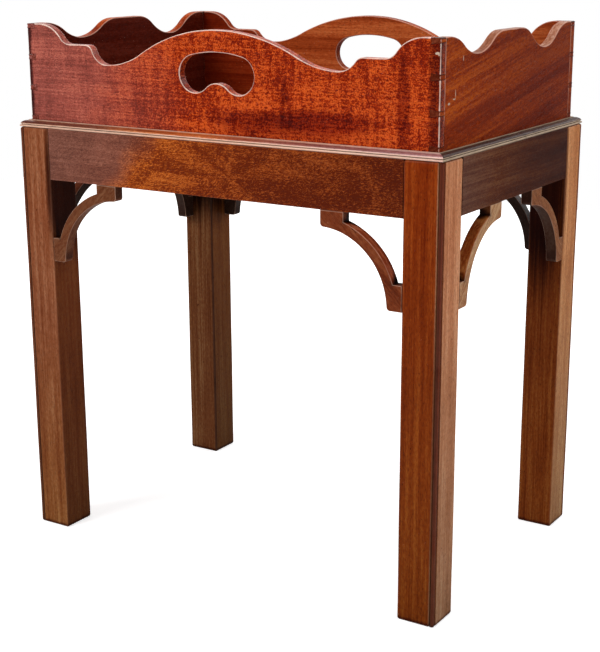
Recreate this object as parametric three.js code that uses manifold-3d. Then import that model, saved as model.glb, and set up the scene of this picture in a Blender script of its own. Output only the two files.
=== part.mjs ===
// Butler tray on stand: a dovetailed mahogany tray with scalloped sides, resting inside the
// moulded lip of a square-legged stand with pierced corner brackets.
// Millimetres, +Z up. The origin is on the floor, at the middle of the stand.
// X runs along the long side, and the front faces -Y.
import * as THREE from 'three';
import { mergeVertices } from 'three/addons/utils/BufferGeometryUtils.js';
import Module from 'manifold-3d';

const wasm = await Module();
wasm.setup();

// Stand
const standWidth = 634;
const standDepth = 414;
const legWidth = 50;
const legHeight = 570;
const footChamfer = 2.5;
const legBeadRadius = 2.6;
const legQuirkWidth = 1.6;
const apronHeight = 68;
const apronThickness = 22;

// Mortise and tenon between apron and leg
const tenonLength = 24;
const tenonThickness = 8;
const tenonSetback = 7;
const tenonShoulder = 12;

// Moulded lip on top of the stand: a bead, a quirk and a thumb
const mouldingWidth = 11;
const mouldingHeight = 9;
const mouldingBeadRadius = 1.3;
const mouldingQuirkWidth = 0.9;
const mouldingQuirkDepth = 1.9;
const mouldingThumbSetback = 0.8;
const mouldingTopFlat = 2;

// Corner bracket: a quarter ring with a pad at each end
const bracketReach = 111;
const bracketPadDepth = 20;
const bracketPadLength = 32;
const bracketStrut = 13;
const bracketThickness = 15;
const bracketCornerRadius = 4.5;

// Tray
const trayClearance = 1;
const trayHeight = 135;
const trayBoardThickness = 12;
const trayBottomThickness = 8;
const trayArris = 1.4;

// Scalloped top of the long sides, seen from outside. A drop is measured down from the top, and a
// place is a share of half the side's length, from its middle. The sides were sawn by eye, so
// their two valleys differ.
const longLeftValleyDrop = 49;
const longRightValleyDrop = 42;
const longStepDrop = 25;
const longValleyShare = 0.565;
const longStepInnerShare = 0.674;
const longStepOuterShare = 0.766;
const longCornerShare = 0.928;
const longHumpShare = 0.68;
const longStepRiseShare = 0.7;

// Scalloped top of the short sides, in the same terms. One is the other's mirror image.
const shortFrontValleyDrop = 22.5;
const shortBackValleyDrop = 27;
const shortHumpFlatShare = 0.135;
const shortValleyShare = 0.51;
const shortCornerShare = 0.882;
const shortHumpShare = 0.42;
const shortRiseShare = 0.47;

// Hand hole in the long sides: an arch over two round lobes, with a rounded rise between them
const holeLobeDrop = 54;
const holeLobeRadius = 23;
const holeLobeOffset = 32.5;
const holeArchRise = 4;
const holeSillRise = 13;

// Through dovetails at the tray's corners
const dovetailTails = 3;
const dovetailPin = 5;
const dovetailHalfPin = 5.5;
const dovetailSlope = 0.125;

// Screws under the tray
const screwLength = 26;
const screwRadius = 1.8;
const screwPointLength = 4;
const screwHeadRadius = 3.6;
const screwHeadHeight = 2.2;
const screwSlotWidth = 0.9;
const screwSlotDepth = 0.9;
const screwRecess = 0.4;
const screwPitch = 200;

// Headless pins that hold the moulding and the brackets
const pinRadius = 0.9;
const pinPointLength = 2;
const mouldingPinLength = 17;
const mouldingPinCover = 2.5;
const mouldingPinInset = 19;
const bracketPinLength = 32;
const bracketPinRecess = 0.4;

// Fits, and the overrun of every cut
const jointGap = 0.25;
const overrun = 5;

// Facets of the round stretches
const wideArcSteps = 9;
const arcSteps = 7;
const beadSteps = 10;
const filletSteps = 3;
const roundSides = 8;

// Sizes that follow from the ones above
const quarterTurn = Math.PI / 2;
const trayLength = standWidth - 2 * (mouldingWidth + trayClearance);
const trayDepth = standDepth - 2 * (mouldingWidth + trayClearance);
const boardBase = trayBottomThickness + jointGap;
const boardHeight = trayHeight - boardBase;
const boardMiddle = trayBoardThickness / 2;
const apronBottom = legHeight - apronHeight;
const bracketTop = apronBottom - jointGap;
const bracketInset = legWidth + jointGap;
const bracketMiddle = bracketThickness / 2;
const bracketInnerRadius = bracketReach - bracketPadDepth;
const bracketPinPlace = bracketReach - bracketPadLength / 2;
const bracketPinStart = bracketReach - Math.sqrt(bracketInnerRadius ** 2 - (bracketPadLength / 2) ** 2)
  - bracketPinRecess;
const mouldingPinTop = mouldingHeight - mouldingPinCover;

// Finishes
function finish(color, roughness, metalness) {
  return new THREE.MeshStandardMaterial({ color, roughness, metalness });
}

const trayWood = finish(0x8a3216, 0.3, 0);
const trayBottomWood = finish(0x5e2415, 0.4, 0);
const standWood = finish(0x5f301a, 0.45, 0);
const bracketWood = finish(0x7a3a1a, 0.5, 0);
const steel = finish(0x6a6660, 0.5, 0.9);

// Closed mesh to solid. Triangles that collapse on an axis are dropped.
function solid(geometry) {
  const bare = new THREE.BufferGeometry();
  bare.setAttribute('position', geometry.getAttribute('position'));
  bare.setIndex(geometry.getIndex());
  const welded = mergeVertices(bare);
  const vertProperties = new Float32Array(welded.getAttribute('position').array);
  const corners = welded.getIndex().array;
  const triangles = [];
  for (let i = 0; i < corners.length; i += 3) {
    const triangle = corners.slice(i, i + 3);
    if (new Set(triangle).size === 3) {
      triangles.push(...triangle);
    }
  }
  const triVerts = new Uint32Array(triangles);
  return new wasm.Manifold(new wasm.Mesh({ numProp: 3, vertProperties, triVerts }));
}

// Solid back to a flat-shaded mesh.
function geometryOf(manifold) {
  const mesh = manifold.getMesh();
  const geometry = new THREE.BufferGeometry();
  geometry.setAttribute('position', new THREE.BufferAttribute(mesh.vertProperties, 3));
  geometry.setIndex(new THREE.BufferAttribute(mesh.triVerts, 1));
  const flat = geometry.toNonIndexed();
  flat.computeVertexNormals();
  return flat;
}

// One body from several that touch or overlap.
function joined(geometries) {
  return geometries.map(solid).reduce((whole, next) => whole.add(next));
}

// Body with cuts taken out of it.
function carved(body, cuts) {
  return geometryOf(cuts.reduce((rest, cut) => rest.subtract(solid(cut)), body));
}

// Box between two corners.
function block(low, high) {
  const [width, depth, height] = high.map((value, i) => value - low[i]);
  const [x, y, z] = high.map((value, i) => (value + low[i]) / 2);
  return new THREE.BoxGeometry(width, depth, height).translate(x, y, z);
}

// Body through rings of matching points, with flat ends of the given outline.
function loft(rings, outline) {
  const count = outline.length;
  const last = (rings.length - 1) * count;
  const index = [];
  for (let base = 0; base < last; base += count) {
    for (let i = 0; i < count; i += 1) {
      const next = (i + 1) % count;
      index.push(base + i, base + next, base + count + next);
      index.push(base + i, base + count + next, base + count + i);
    }
  }
  for (const [a, b, c] of THREE.ShapeUtils.triangulateShape(outline, [])) {
    index.push(a, c, b, last + a, last + b, last + c);
  }
  const geometry = new THREE.BufferGeometry().setFromPoints(rings.flat());
  geometry.setIndex(index);
  return geometry;
}

// Round body about a vertical axis, from pairs of radius and height that start and end on the axis.
function turned(profile) {
  const points = profile.map(([radius, height]) => new THREE.Vector2(radius, height));
  return new THREE.LatheGeometry(points, roundSides).rotateX(quarterTurn);
}

// Points of an arc, both ends included.
function arc(x, y, radius, start, end, steps) {
  return Array.from({ length: steps + 1 }, (unused, i) => {
    const angle = start + ((end - start) * i) / steps;
    return new THREE.Vector2(x + radius * Math.cos(angle), y + radius * Math.sin(angle));
  });
}

// Arc that is level at its start and ends at the given run and rise from there.
function sweep(x, y, run, rise, steps) {
  const turn = 2 * Math.atan(Math.abs(rise / run));
  const radius = Math.abs(run) / Math.sin(turn);
  return Array.from({ length: steps + 1 }, (unused, i) => {
    const angle = (turn * i) / steps;
    const along = Math.sign(run) * radius * Math.sin(angle);
    const up = Math.sign(rise) * radius * (1 - Math.cos(angle));
    return new THREE.Vector2(x + along, y + up);
  });
}

// Two arcs in an S, level at both ends. The first arc covers its share of the run and the rise.
function swell(x, y, run, rise, share) {
  const first = sweep(x, y, run * share, rise * share, wideArcSteps);
  const second = sweep(x + run, y + rise, run * (share - 1), rise * (share - 1), arcSteps);
  return [...first, ...second.reverse().slice(1)];
}

// Places along a length, evenly spaced about its middle, near the given pitch.
function spread(length, pitch) {
  const count = Math.max(1, Math.round(length / pitch));
  return Array.from({ length: count }, (unused, i) => ((2 * i + 1) / count - 1) * (length / 2));
}

// Pin that points up from height 0. With a clearance it is the hole for that pin, opened below.
function pin(length, clearance, opening) {
  const radius = pinRadius + clearance;
  return turned([
    [0, -opening],
    [radius, -opening],
    [radius, length - pinPointLength + clearance],
    [0, length + clearance],
  ]);
}

// Countersunk screw that points up from height 0, or the hole for it.
function screw(clearance, opening) {
  const head = screwHeadRadius + clearance;
  const shank = screwRadius + clearance;
  return turned([
    [0, -opening],
    [head, -opening],
    [head, 0],
    [shank, screwHeadHeight],
    [shank, screwLength - screwPointLength + clearance],
    [0, screwLength + clearance],
  ]);
}

// Leg, with its outer corner at the origin and its outer faces on x = 0 and y = 0.
// A quirked bead runs down the outer corner.
function legGeometry() {
  const bead = legBeadRadius;
  const quirkEdge = 2 * bead + legQuirkWidth;
  const outline = [
    new THREE.Vector2(0, quirkEdge),
    ...arc(bead, bead, bead, quarterTurn, 4 * quarterTurn, beadSteps),
    new THREE.Vector2(quirkEdge, 0),
    new THREE.Vector2(legWidth, 0),
    new THREE.Vector2(legWidth, legWidth),
    new THREE.Vector2(0, legWidth),
  ];
  const shape = new THREE.Shape(outline);
  const post = new THREE.ExtrudeGeometry(shape, { depth: legHeight, bevelEnabled: false });
  const square = (inset, height) => [
    new THREE.Vector3(inset, inset, height),
    new THREE.Vector3(legWidth - inset, inset, height),
    new THREE.Vector3(legWidth - inset, legWidth - inset, height),
    new THREE.Vector3(inset, legWidth - inset, height),
  ];
  const blank = loft([
    square(footChamfer, 0),
    square(-overrun, footChamfer + overrun),
    square(-overrun, legHeight + overrun),
  ], square(0, 0));
  const swapped = ([x, y, z]) => [y, x, z];
  const mortiseLow = [legWidth - tenonLength - jointGap, tenonSetback - jointGap,
    apronBottom + tenonShoulder - jointGap];
  const mortiseHigh = [legWidth + overrun, tenonSetback + tenonThickness + jointGap,
    legHeight - tenonShoulder + jointGap];
  const mouldingPinPlace = [mouldingPinInset, mouldingWidth / 2, legHeight + jointGap];
  const bracketPinEnd = [bracketInset + bracketPinStart, bracketMiddle, bracketTop - bracketPinPlace];
  return carved(solid(post).intersect(solid(blank)), [
    block(mortiseLow, mortiseHigh),
    block(swapped(mortiseLow), swapped(mortiseHigh)),
    mouldingPinHole().translate(...mouldingPinPlace),
    mouldingPinHole().translate(...swapped(mouldingPinPlace)),
    bracketPinHole().rotateY(-quarterTurn).translate(...bracketPinEnd),
    bracketPinHole().rotateX(quarterTurn).translate(...swapped(bracketPinEnd)),
  ]);
}

// Apron of a side of the given length, with its outer face on y = 0, its foot on z = 0 and a
// tenon at each end.
function apronGeometry(length) {
  const half = length / 2 - legWidth - jointGap;
  const reach = length / 2 - legWidth + tenonLength;
  const board = block([-half, 0, 0], [half, apronThickness, apronHeight]);
  const tenons = block([-reach, tenonSetback, tenonShoulder],
    [reach, tenonSetback + tenonThickness, apronHeight - tenonShoulder]);
  return carved(joined([board, tenons]), [-1, 1].map((end) => bracketPinHole().translate(
    end * (length / 2 - bracketInset - bracketPinPlace), bracketMiddle, -jointGap - bracketPinStart)));
}

// Moulding of a side of the given length, mitred at both ends, with its outer face on y = 0.
function mouldingGeometry(length) {
  const bead = mouldingBeadRadius;
  const thumbFoot = 2 * bead + mouldingQuirkWidth;
  const thumbRun = mouldingWidth - mouldingTopFlat - mouldingThumbSetback;
  const thumbRise = mouldingHeight - thumbFoot;
  const thumb = arc(0, 0, 1, quarterTurn, 2 * quarterTurn, arcSteps).map((point) => new THREE.Vector2(
    mouldingWidth - mouldingTopFlat + point.x * thumbRun, thumbFoot + point.y * thumbRise));
  const profile = [
    new THREE.Vector2(mouldingWidth, 0),
    new THREE.Vector2(mouldingWidth, mouldingHeight),
    ...thumb,
    new THREE.Vector2(mouldingQuirkDepth, thumbFoot),
    new THREE.Vector2(mouldingQuirkDepth, 2 * bead),
    ...arc(bead, bead, bead, quarterTurn, 3 * quarterTurn, arcSteps),
  ];
  const mitre = length / 2 - jointGap * Math.SQRT1_2;
  const ring = (end) => profile.map(({ x, y }) => new THREE.Vector3(end * (mitre - x), x, y));
  return carved(solid(loft([ring(-1), ring(1)], profile)), [-1, 1].map((end) => mouldingPinHole().translate(
    end * (length / 2 - mouldingPinInset), mouldingWidth / 2, 0)));
}

// Pierced bracket. Its corner is at the origin, one pad runs along +X under the apron, and the
// other runs down the leg.
function bracketGeometry() {
  const reach = bracketReach;
  const inner = bracketInnerRadius;
  const outer = inner + bracketStrut;
  const round = bracketCornerRadius;
  const roundLean = Math.asin(round / (inner + round));
  const padLean = Math.asin(bracketPadLength / outer);
  const roundAway = (inner + round) * Math.cos(roundLean);
  const up = quarterTurn;
  const outline = [
    new THREE.Vector2(reach - bracketPadLength, 0),
    ...arc(reach, -reach, outer, up + padLean, 2 * up - padLean, arcSteps),
    new THREE.Vector2(0, bracketPadLength - reach),
    new THREE.Vector2(0, -reach),
    ...arc(reach - roundAway, round - reach, round, 3 * up, 4 * up - roundLean, filletSteps),
    ...arc(reach, -reach, inner, 2 * up - roundLean, up + roundLean, wideArcSteps).slice(1),
    ...arc(reach - round, roundAway - reach, round, 3 * up + roundLean, 4 * up, filletSteps).slice(1),
    new THREE.Vector2(reach, 0),
  ];
  const shape = new THREE.Shape(outline);
  const body = new THREE.ExtrudeGeometry(shape, { depth: bracketThickness, bevelEnabled: false });
  body.rotateX(quarterTurn).translate(0, bracketMiddle, 0);
  return carved(solid(body), [
    bracketPinHole().translate(bracketPinPlace, 0, -bracketPinStart),
    bracketPinHole().rotateY(-quarterTurn).translate(bracketPinStart, 0, -bracketPinPlace),
  ]);
}

function bracketPinHole() {
  return pin(bracketPinLength, jointGap, overrun);
}

// Hole that points down from inside the moulding, whose foot is at height 0.
function mouldingPinHole() {
  const hole = pin(mouldingPinLength, jointGap, jointGap);
  return hole.rotateX(2 * quarterTurn).translate(0, 0, mouldingPinTop);
}

// Half of the long side's top edge, from its middle to the flat at its corner.
function longTop(valleyDrop) {
  const half = trayLength / 2;
  const valley = longValleyShare * half;
  const outer = longStepOuterShare * half;
  const low = boardHeight - valleyDrop;
  const step = boardHeight - longStepDrop;
  const innerRun = longStepInnerShare * half - valley;
  const outerRun = longCornerShare * half - outer;
  return [
    ...swell(0, boardHeight, valley, -valleyDrop, longHumpShare),
    ...swell(valley, low, innerRun, valleyDrop - longStepDrop, longStepRiseShare).slice(1),
    ...swell(outer, step, outerRun, longStepDrop, 1 - longStepRiseShare),
  ];
}

// Half of the short side's top edge.
function shortTop(valleyDrop) {
  const half = trayDepth / 2;
  const flat = shortHumpFlatShare * half;
  const valley = shortValleyShare * half;
  const corner = shortCornerShare * half;
  const low = boardHeight - valleyDrop;
  return [
    new THREE.Vector2(0, boardHeight),
    ...swell(flat, boardHeight, valley - flat, -valleyDrop, shortHumpShare),
    ...swell(valley, low, corner - valley, valleyDrop, shortRiseShare).slice(1),
  ];
}

// Kidney-shaped hole whose arcs all run into each other.
function handHole() {
  const lobe = boardHeight - holeLobeDrop;
  const archTop = holeLobeRadius + holeArchRise;
  const sillTop = holeLobeRadius - holeSillRise;
  const lobeSpan = holeLobeOffset ** 2 - holeLobeRadius ** 2;
  const archRadius = (lobeSpan + archTop ** 2) / (2 * holeArchRise);
  const sillRadius = (lobeSpan + sillTop ** 2) / (2 * holeSillRise);
  const arch = lobe + archTop - archRadius;
  const sill = lobe - sillTop - sillRadius;
  const archLean = Math.atan2(holeLobeOffset, lobe - arch);
  const sillLean = Math.atan2(holeLobeOffset, lobe - sill);
  const up = quarterTurn;
  const lobeSteps = wideArcSteps + arcSteps;
  return new THREE.Path([
    ...arc(0, arch, archRadius, up - archLean, up + archLean, wideArcSteps),
    ...arc(-holeLobeOffset, lobe, holeLobeRadius, up + archLean, 3 * up + sillLean, lobeSteps).slice(1),
    ...arc(0, sill, sillRadius, up + sillLean, up - sillLean, arcSteps).slice(1),
    ...arc(holeLobeOffset, lobe, holeLobeRadius, -up - sillLean, up - archLean, lobeSteps).slice(1, -1),
  ]);
}

// Tray side with eased arrises, square at its foot and ends. Its outer face is on y = 0, its foot
// on z = 0 and its thickness towards +Y. It is cut from a longer board.
function trayBoard(leftTop, rightTop, length, holes) {
  const far = length / 2 + overrun;
  const corner = new THREE.Vector2(far, boardHeight);
  const right = [...rightTop, corner];
  const left = [...leftTop, corner].slice(1).reverse()
    .map((point) => new THREE.Vector2(-point.x, point.y));
  const foot = [new THREE.Vector2(far, -overrun), new THREE.Vector2(-far, -overrun)];
  const shape = new THREE.Shape([...left, ...right, ...foot]);
  shape.holes.push(...holes);
  const board = new THREE.ExtrudeGeometry(shape, {
    depth: trayBoardThickness - 2 * trayArris,
    bevelEnabled: true,
    bevelThickness: trayArris,
    bevelSize: trayArris,
    bevelOffset: -trayArris,
    bevelSegments: 1,
  });
  board.rotateX(quarterTurn).translate(0, trayBoardThickness - trayArris, 0);
  const trim = block([-length / 2, -overrun, 0],
    [length / 2, trayBoardThickness + overrun, boardHeight + overrun]);
  return solid(board).intersect(solid(trim));
}

// Heights between which the dovetail pins lie at the outer face, from the foot up.
function pinSpans() {
  const tail = (boardHeight - 2 * dovetailHalfPin - (dovetailTails - 1) * dovetailPin) / dovetailTails;
  const spans = [[-overrun, dovetailHalfPin]];
  for (let low = dovetailHalfPin + tail; spans.length < dovetailTails; low += tail + dovetailPin) {
    spans.push([low, low + dovetailPin]);
  }
  return [...spans, [boardHeight - dovetailHalfPin, boardHeight + overrun]];
}

// The dovetail pins as bars that run along X about its middle. They are narrow at the outer face
// on y = 0 and widen towards +Y.
function pinBars(length, clearance) {
  const inner = trayBoardThickness + clearance;
  const flare = (depth) => dovetailSlope * depth + clearance;
  return pinSpans().map(([low, high]) => {
    const section = new THREE.Shape([
      new THREE.Vector2(-overrun, low - flare(-overrun)),
      new THREE.Vector2(inner, low - flare(inner)),
      new THREE.Vector2(inner, high + flare(inner)),
      new THREE.Vector2(-overrun, high + flare(-overrun)),
    ]);
    const bar = new THREE.ExtrudeGeometry(section, { depth: length, bevelEnabled: false });
    return bar.translate(0, 0, -length / 2).rotateX(quarterTurn).rotateZ(quarterTurn);
  });
}

function screwHoles(places) {
  return places.map((x) => screw(jointGap, overrun).translate(x, boardMiddle, screwRecess - boardBase));
}

// Long side: its tails are what is left between the sockets for the pins.
function longBoardGeometry() {
  const half = trayLength / 2;
  const across = trayBoardThickness + 2 * overrun;
  const sockets = [-1, 1].flatMap((end) => pinBars(across, jointGap).map((bar) => bar
    .rotateZ(end * quarterTurn).translate(end * half, boardMiddle, 0)));
  const holes = screwHoles(spread(trayLength, screwPitch));
  const board = trayBoard(longTop(longLeftValleyDrop), longTop(longRightValleyDrop), trayLength,
    [handHole()]);
  return carved(board, [...sockets, ...holes]);
}

// Short side: only its pins pass through to the outer faces of the long sides.
function shortBoardGeometry(leftDrop, rightDrop) {
  const shoulder = trayDepth / 2 - trayBoardThickness - jointGap;
  const core = block([-shoulder, -overrun, -overrun],
    [shoulder, trayBoardThickness + overrun, boardHeight + overrun]);
  const cover = joined([core, ...pinBars(trayDepth + 2 * overrun, 0)]);
  const board = trayBoard(shortTop(leftDrop), shortTop(rightDrop), trayDepth, []).intersect(cover);
  return carved(board, screwHoles(spread(trayDepth, screwPitch)));
}

// Places of the screws under the tray, side by side, half a board in from its edges.
function screwPlaces() {
  const x = trayLength / 2 - boardMiddle;
  const y = trayDepth / 2 - boardMiddle;
  return [
    ...spread(trayLength, screwPitch).map((place, i) => ({ name: `front_${i + 1}`, x: place, y: -y })),
    ...spread(trayDepth, screwPitch).map((place, i) => ({ name: `right_${i + 1}`, x, y: place })),
    ...spread(trayLength, screwPitch).map((place, i) => ({ name: `back_${i + 1}`, x: -place, y })),
    ...spread(trayDepth, screwPitch).map((place, i) => ({ name: `left_${i + 1}`, x: -x, y: -place })),
  ];
}

function trayBottomGeometry() {
  const x = trayLength / 2;
  const y = trayDepth / 2;
  const panel = solid(block([-x, -y, 0], [x, y, trayBottomThickness]));
  return carved(panel, screwPlaces().map((place) => screw(jointGap, overrun)
    .translate(place.x, place.y, screwRecess)));
}

function screwGeometry() {
  const slot = block([-screwHeadRadius - overrun, -screwSlotWidth / 2, -overrun],
    [screwHeadRadius + overrun, screwSlotWidth / 2, screwSlotDepth]);
  return carved(solid(screw(0, 0)), [slot]);
}

// Assembly

function piece(parent, name, geometry, material) {
  const mesh = new THREE.Mesh(geometry, material);
  mesh.name = name;
  parent.add(mesh);
  return mesh;
}

const leg = legGeometry();
const bracket = bracketGeometry();
const bracketPin = geometryOf(solid(pin(bracketPinLength, 0, 0)));
const mouldingPin = geometryOf(solid(pin(mouldingPinLength, 0, 0)));

// Bracket with its pin up into the apron and its pin across into the leg.
function pinnedBracket(name) {
  const fitted = new THREE.Group();
  piece(fitted, `bracket_${name}`, bracket, bracketWood);
  const apronPin = piece(fitted, `bracket_pin_${name}_apron`, bracketPin, steel);
  apronPin.position.set(bracketPinPlace, 0, -bracketPinStart);
  const legPin = piece(fitted, `bracket_pin_${name}_leg`, bracketPin, steel);
  legPin.rotation.y = -quarterTurn;
  legPin.position.set(bracketPinStart, 0, -bracketPinPlace);
  return fitted;
}

// One side of the stand, with the leg at its start. Inside this group X runs along the side, and
// the outer face of the stand is on y = 0.
function standSide({ name, start, end, length, legName }) {
  const side = new THREE.Group();
  piece(side, legName, leg, standWood).position.x = -length / 2;
  piece(side, `apron_${name}`, apronGeometry(length), standWood).position.z = apronBottom;
  piece(side, `moulding_${name}`, mouldingGeometry(length), standWood).position.z = legHeight + jointGap;
  for (const [direction, neighbour] of [[-1, start], [1, end]]) {
    const fitted = pinnedBracket(`${name}_${neighbour}`);
    fitted.rotation.z = (direction + 1) * quarterTurn;
    fitted.position.set(direction * (length / 2 - bracketInset), bracketMiddle, bracketTop);
    side.add(fitted);
    const driven = piece(side, `moulding_pin_${name}_${neighbour}`, mouldingPin, steel);
    driven.rotation.x = 2 * quarterTurn;
    driven.position.set(direction * (length / 2 - mouldingPinInset), mouldingWidth / 2,
      legHeight + jointGap + mouldingPinTop);
  }
  return side;
}

const group = new THREE.Group();
const stand = new THREE.Group();
const tray = new THREE.Group();
tray.position.z = legHeight + jointGap;
group.add(stand, tray);

const longSide = { length: standWidth, across: standDepth };
const shortSide = { length: standDepth, across: standWidth };
const sides = [
  { ...longSide, name: 'front', start: 'left', end: 'right', legName: 'leg_front_left' },
  { ...shortSide, name: 'right', start: 'front', end: 'back', legName: 'leg_front_right' },
  { ...longSide, name: 'back', start: 'right', end: 'left', legName: 'leg_back_right' },
  { ...shortSide, name: 'left', start: 'back', end: 'front', legName: 'leg_back_left' },
];
const longBoard = longBoardGeometry();
const rightBoard = shortBoardGeometry(shortFrontValleyDrop, shortBackValleyDrop);
const leftBoard = shortBoardGeometry(shortBackValleyDrop, shortFrontValleyDrop);
const boards = [
  { name: 'tray_front_board', geometry: longBoard, away: trayDepth / 2 },
  { name: 'tray_right_end', geometry: rightBoard, away: trayLength / 2 },
  { name: 'tray_back_board', geometry: longBoard, away: trayDepth / 2 },
  { name: 'tray_left_end', geometry: leftBoard, away: trayLength / 2 },
];
const upright = new THREE.Vector3(0, 0, 1);
for (let i = 0; i < sides.length; i += 1) {
  const turn = i * quarterTurn;
  const side = standSide(sides[i]);
  side.rotation.z = turn;
  side.position.set(0, -sides[i].across / 2, 0).applyAxisAngle(upright, turn);
  stand.add(side);
  const board = piece(tray, boards[i].name, boards[i].geometry, trayWood);
  board.rotation.z = turn;
  board.position.set(0, -boards[i].away, boardBase).applyAxisAngle(upright, turn);
}
piece(tray, 'tray_bottom', trayBottomGeometry(), trayBottomWood);

// The slots stop at different angles, one radian on from screw to screw.
const trayScrew = screwGeometry();
screwPlaces().forEach(({ name, x, y }, i) => {
  const driven = piece(tray, `tray_screw_${name}`, trayScrew, steel);
  driven.rotation.z = i;
  driven.position.set(x, y, screwRecess);
});

export default group;
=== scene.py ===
"""A figured mahogany butler's tray on its square-legged stand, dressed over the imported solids.

All sizes are in millimetres, as the solids are, and become metres when a mesh is put in. Each
board is an outline with eased arrises, and each leg and moulding a section carried along its
length. The finishes are cut from one set of wood patterns.
"""

import logging
import math
from dataclasses import dataclass, field, replace
from enum import Enum

import bpy
import numpy as np
from mathutils import Matrix, Vector
from mathutils.geometry import tessellate_polygon


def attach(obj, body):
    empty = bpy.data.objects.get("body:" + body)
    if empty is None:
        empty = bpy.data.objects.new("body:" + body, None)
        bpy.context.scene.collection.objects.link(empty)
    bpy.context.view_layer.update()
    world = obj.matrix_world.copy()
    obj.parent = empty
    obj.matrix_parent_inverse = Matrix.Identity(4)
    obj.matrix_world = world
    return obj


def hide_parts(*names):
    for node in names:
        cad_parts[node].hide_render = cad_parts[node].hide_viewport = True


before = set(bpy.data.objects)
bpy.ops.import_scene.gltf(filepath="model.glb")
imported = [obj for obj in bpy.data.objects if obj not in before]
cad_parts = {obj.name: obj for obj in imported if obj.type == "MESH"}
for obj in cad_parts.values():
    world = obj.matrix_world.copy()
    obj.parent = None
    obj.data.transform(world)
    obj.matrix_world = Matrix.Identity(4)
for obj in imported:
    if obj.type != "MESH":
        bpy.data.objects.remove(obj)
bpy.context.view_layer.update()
LOG = logging.getLogger("butler_tray")
METRE = 0.001

Socket = bpy.types.NodeSocket
Pair = tuple[float, float]
Triple = tuple[float, float, float]
FLOAT = "NodeSocketFloat"
VECTOR = "NodeSocketVector"
ALONG_X: Triple = (1.0, 0.0, 0.0)
ALONG_Y: Triple = (0.0, 1.0, 0.0)
UPWARDS: Triple = (0.0, 0.0, 1.0)

# Points nearer to each other than this, in millimetres, are one point.
SAME_POINT = 1e-5
# Triangles of less than twice this area, in square millimetres, are left out of a lid.
NO_AREA = 1e-9
# From this ease on, in millimetres, an arris shows all of its worn colour, which also paints its highlight.
FULL_EASE = 0.6
# An edge eased by less than this, in millimetres, is a joint, and holds this share of dirt.
JOINT_EASE, JOINT_DIRT = 0.3, 0.9
# How far from a corner, in millimetres, it is worn and painted with a highlight, and how far dirt and painted
# shade lie in it.
BOARD_WEAR_AND_HIGHLIGHT, BOARD_DIRT_AND_SHADE = 4.0, 2.5
POST_WEAR_AND_HIGHLIGHT, POST_DIRT_AND_SHADE = 1.7, 1.6
STRIP_WEAR_AND_HIGHLIGHT, STRIP_DIRT_AND_SHADE = 0.9, 0.8


class Side(Enum):
    """Sides of the stand: outward direction and the way along, in plan."""

    FRONT = ((0.0, -1.0), (1.0, 0.0))
    RIGHT = ((1.0, 0.0), (0.0, 1.0))
    BACK = ((0.0, 1.0), (1.0, 0.0))
    LEFT = ((-1.0, 0.0), (0.0, 1.0))

    @property
    def word(self) -> str:
        """Name of the side as the solids spell it."""
        return self.name.lower()

    @property
    def wide(self) -> bool:
        """Whether the side runs along the width of the stand."""
        return self in (Side.FRONT, Side.BACK)

    @property
    def ends(self) -> tuple[str, str]:
        """Names of its two ends, in the order in which it runs."""
        return ("left", "right") if self.wide else ("front", "back")

    def place(self, out: float) -> tuple[np.ndarray, np.ndarray]:
        """Frame of a side: along it, up, and in from its outer face.

        Args:
            out: Distance from the middle to the outer face.

        Returns:
            A 3 by 3 matrix whose columns are those directions, and its origin.
        """
        normal, along = self.value
        turn = np.array([[*along, 0.0], [0.0, 0.0, 1.0], [-normal[0], -normal[1], 0.0]]).T
        return turn, np.array([normal[0] * out, normal[1] * out, 0.0])


class Figure(Enum):
    """Patterns that a board can show besides its straight grain."""

    STRAIGHT = "straight"
    FIDDLEBACK = "fiddleback"
    FEATHER = "feather"


def arc(centre: Pair, radius: float, start: float, stop: float, steps: int) -> np.ndarray:
    """Points of an arc: the centre plus the radius times (cos a, sin a).

    Args:
        centre: Centre of the arc.
        radius: Its radius.
        start: First angle in degrees.
        stop: Last angle in degrees.
        steps: Number of chords.

    Returns:
        The steps + 1 points as rows.
    """
    angle = np.radians(np.linspace(start, stop, steps + 1))
    return np.stack([centre[0] + radius * np.cos(angle), centre[1] + radius * np.sin(angle)], axis=1)


def sweep(start: Pair, run: float, rise: float, steps: int = 28) -> np.ndarray:
    """Arc that is level at its start: (r sin a, r (1 - cos a)) for a from 0 to 2 atan(rise / run).

    Args:
        start: Point where the arc is level.
        run: Distance it covers sideways.
        rise: Distance it covers upwards.
        steps: Number of chords.

    Returns:
        The points as rows.
    """
    turn = 2 * math.atan(abs(rise / run))
    radius = abs(run) / math.sin(turn)
    angle = np.linspace(0, turn, steps + 1)
    along = math.copysign(radius, run) * np.sin(angle)
    up = math.copysign(radius, rise) * (1 - np.cos(angle))
    return np.stack([start[0] + along, start[1] + up], axis=1)


def swell(start: Pair, run: float, rise: float, share: float) -> np.ndarray:
    """Two arcs in an S, level at both ends, that meet where the first has covered its share.

    Args:
        start: First point.
        run: Distance covered sideways.
        rise: Distance covered upwards.
        share: Part of both that the first arc takes.

    Returns:
        The points as rows.
    """
    first = sweep(start, run * share, rise * share)
    second = sweep((start[0] + run, start[1] + rise), run * (share - 1), rise * (share - 1))
    return np.vstack([first, second[::-1][1:]])


def eased(points: np.ndarray, ease: float) -> np.ndarray:
    """Adds the ease of the arris to each point of a stretch as a third column."""
    return np.column_stack([points, np.full(len(points), ease)])


def mirrored(stretch: np.ndarray) -> np.ndarray:
    """The same stretch on the other side of the middle, run the other way."""
    return stretch[::-1] * np.array([-1.0] + [1.0] * (stretch.shape[1] - 1))


def straying(travel: np.ndarray) -> np.ndarray:
    """How a hand strays after s millimetres: sin(s/17) sin(s/6.1 + 1.3) + 0.6 sin(s/41 + 0.4)."""
    return np.sin(travel / 17.0) * np.sin(travel / 6.1 + 1.3) + 0.6 * np.sin(travel / 41.0 + 0.4)


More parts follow.
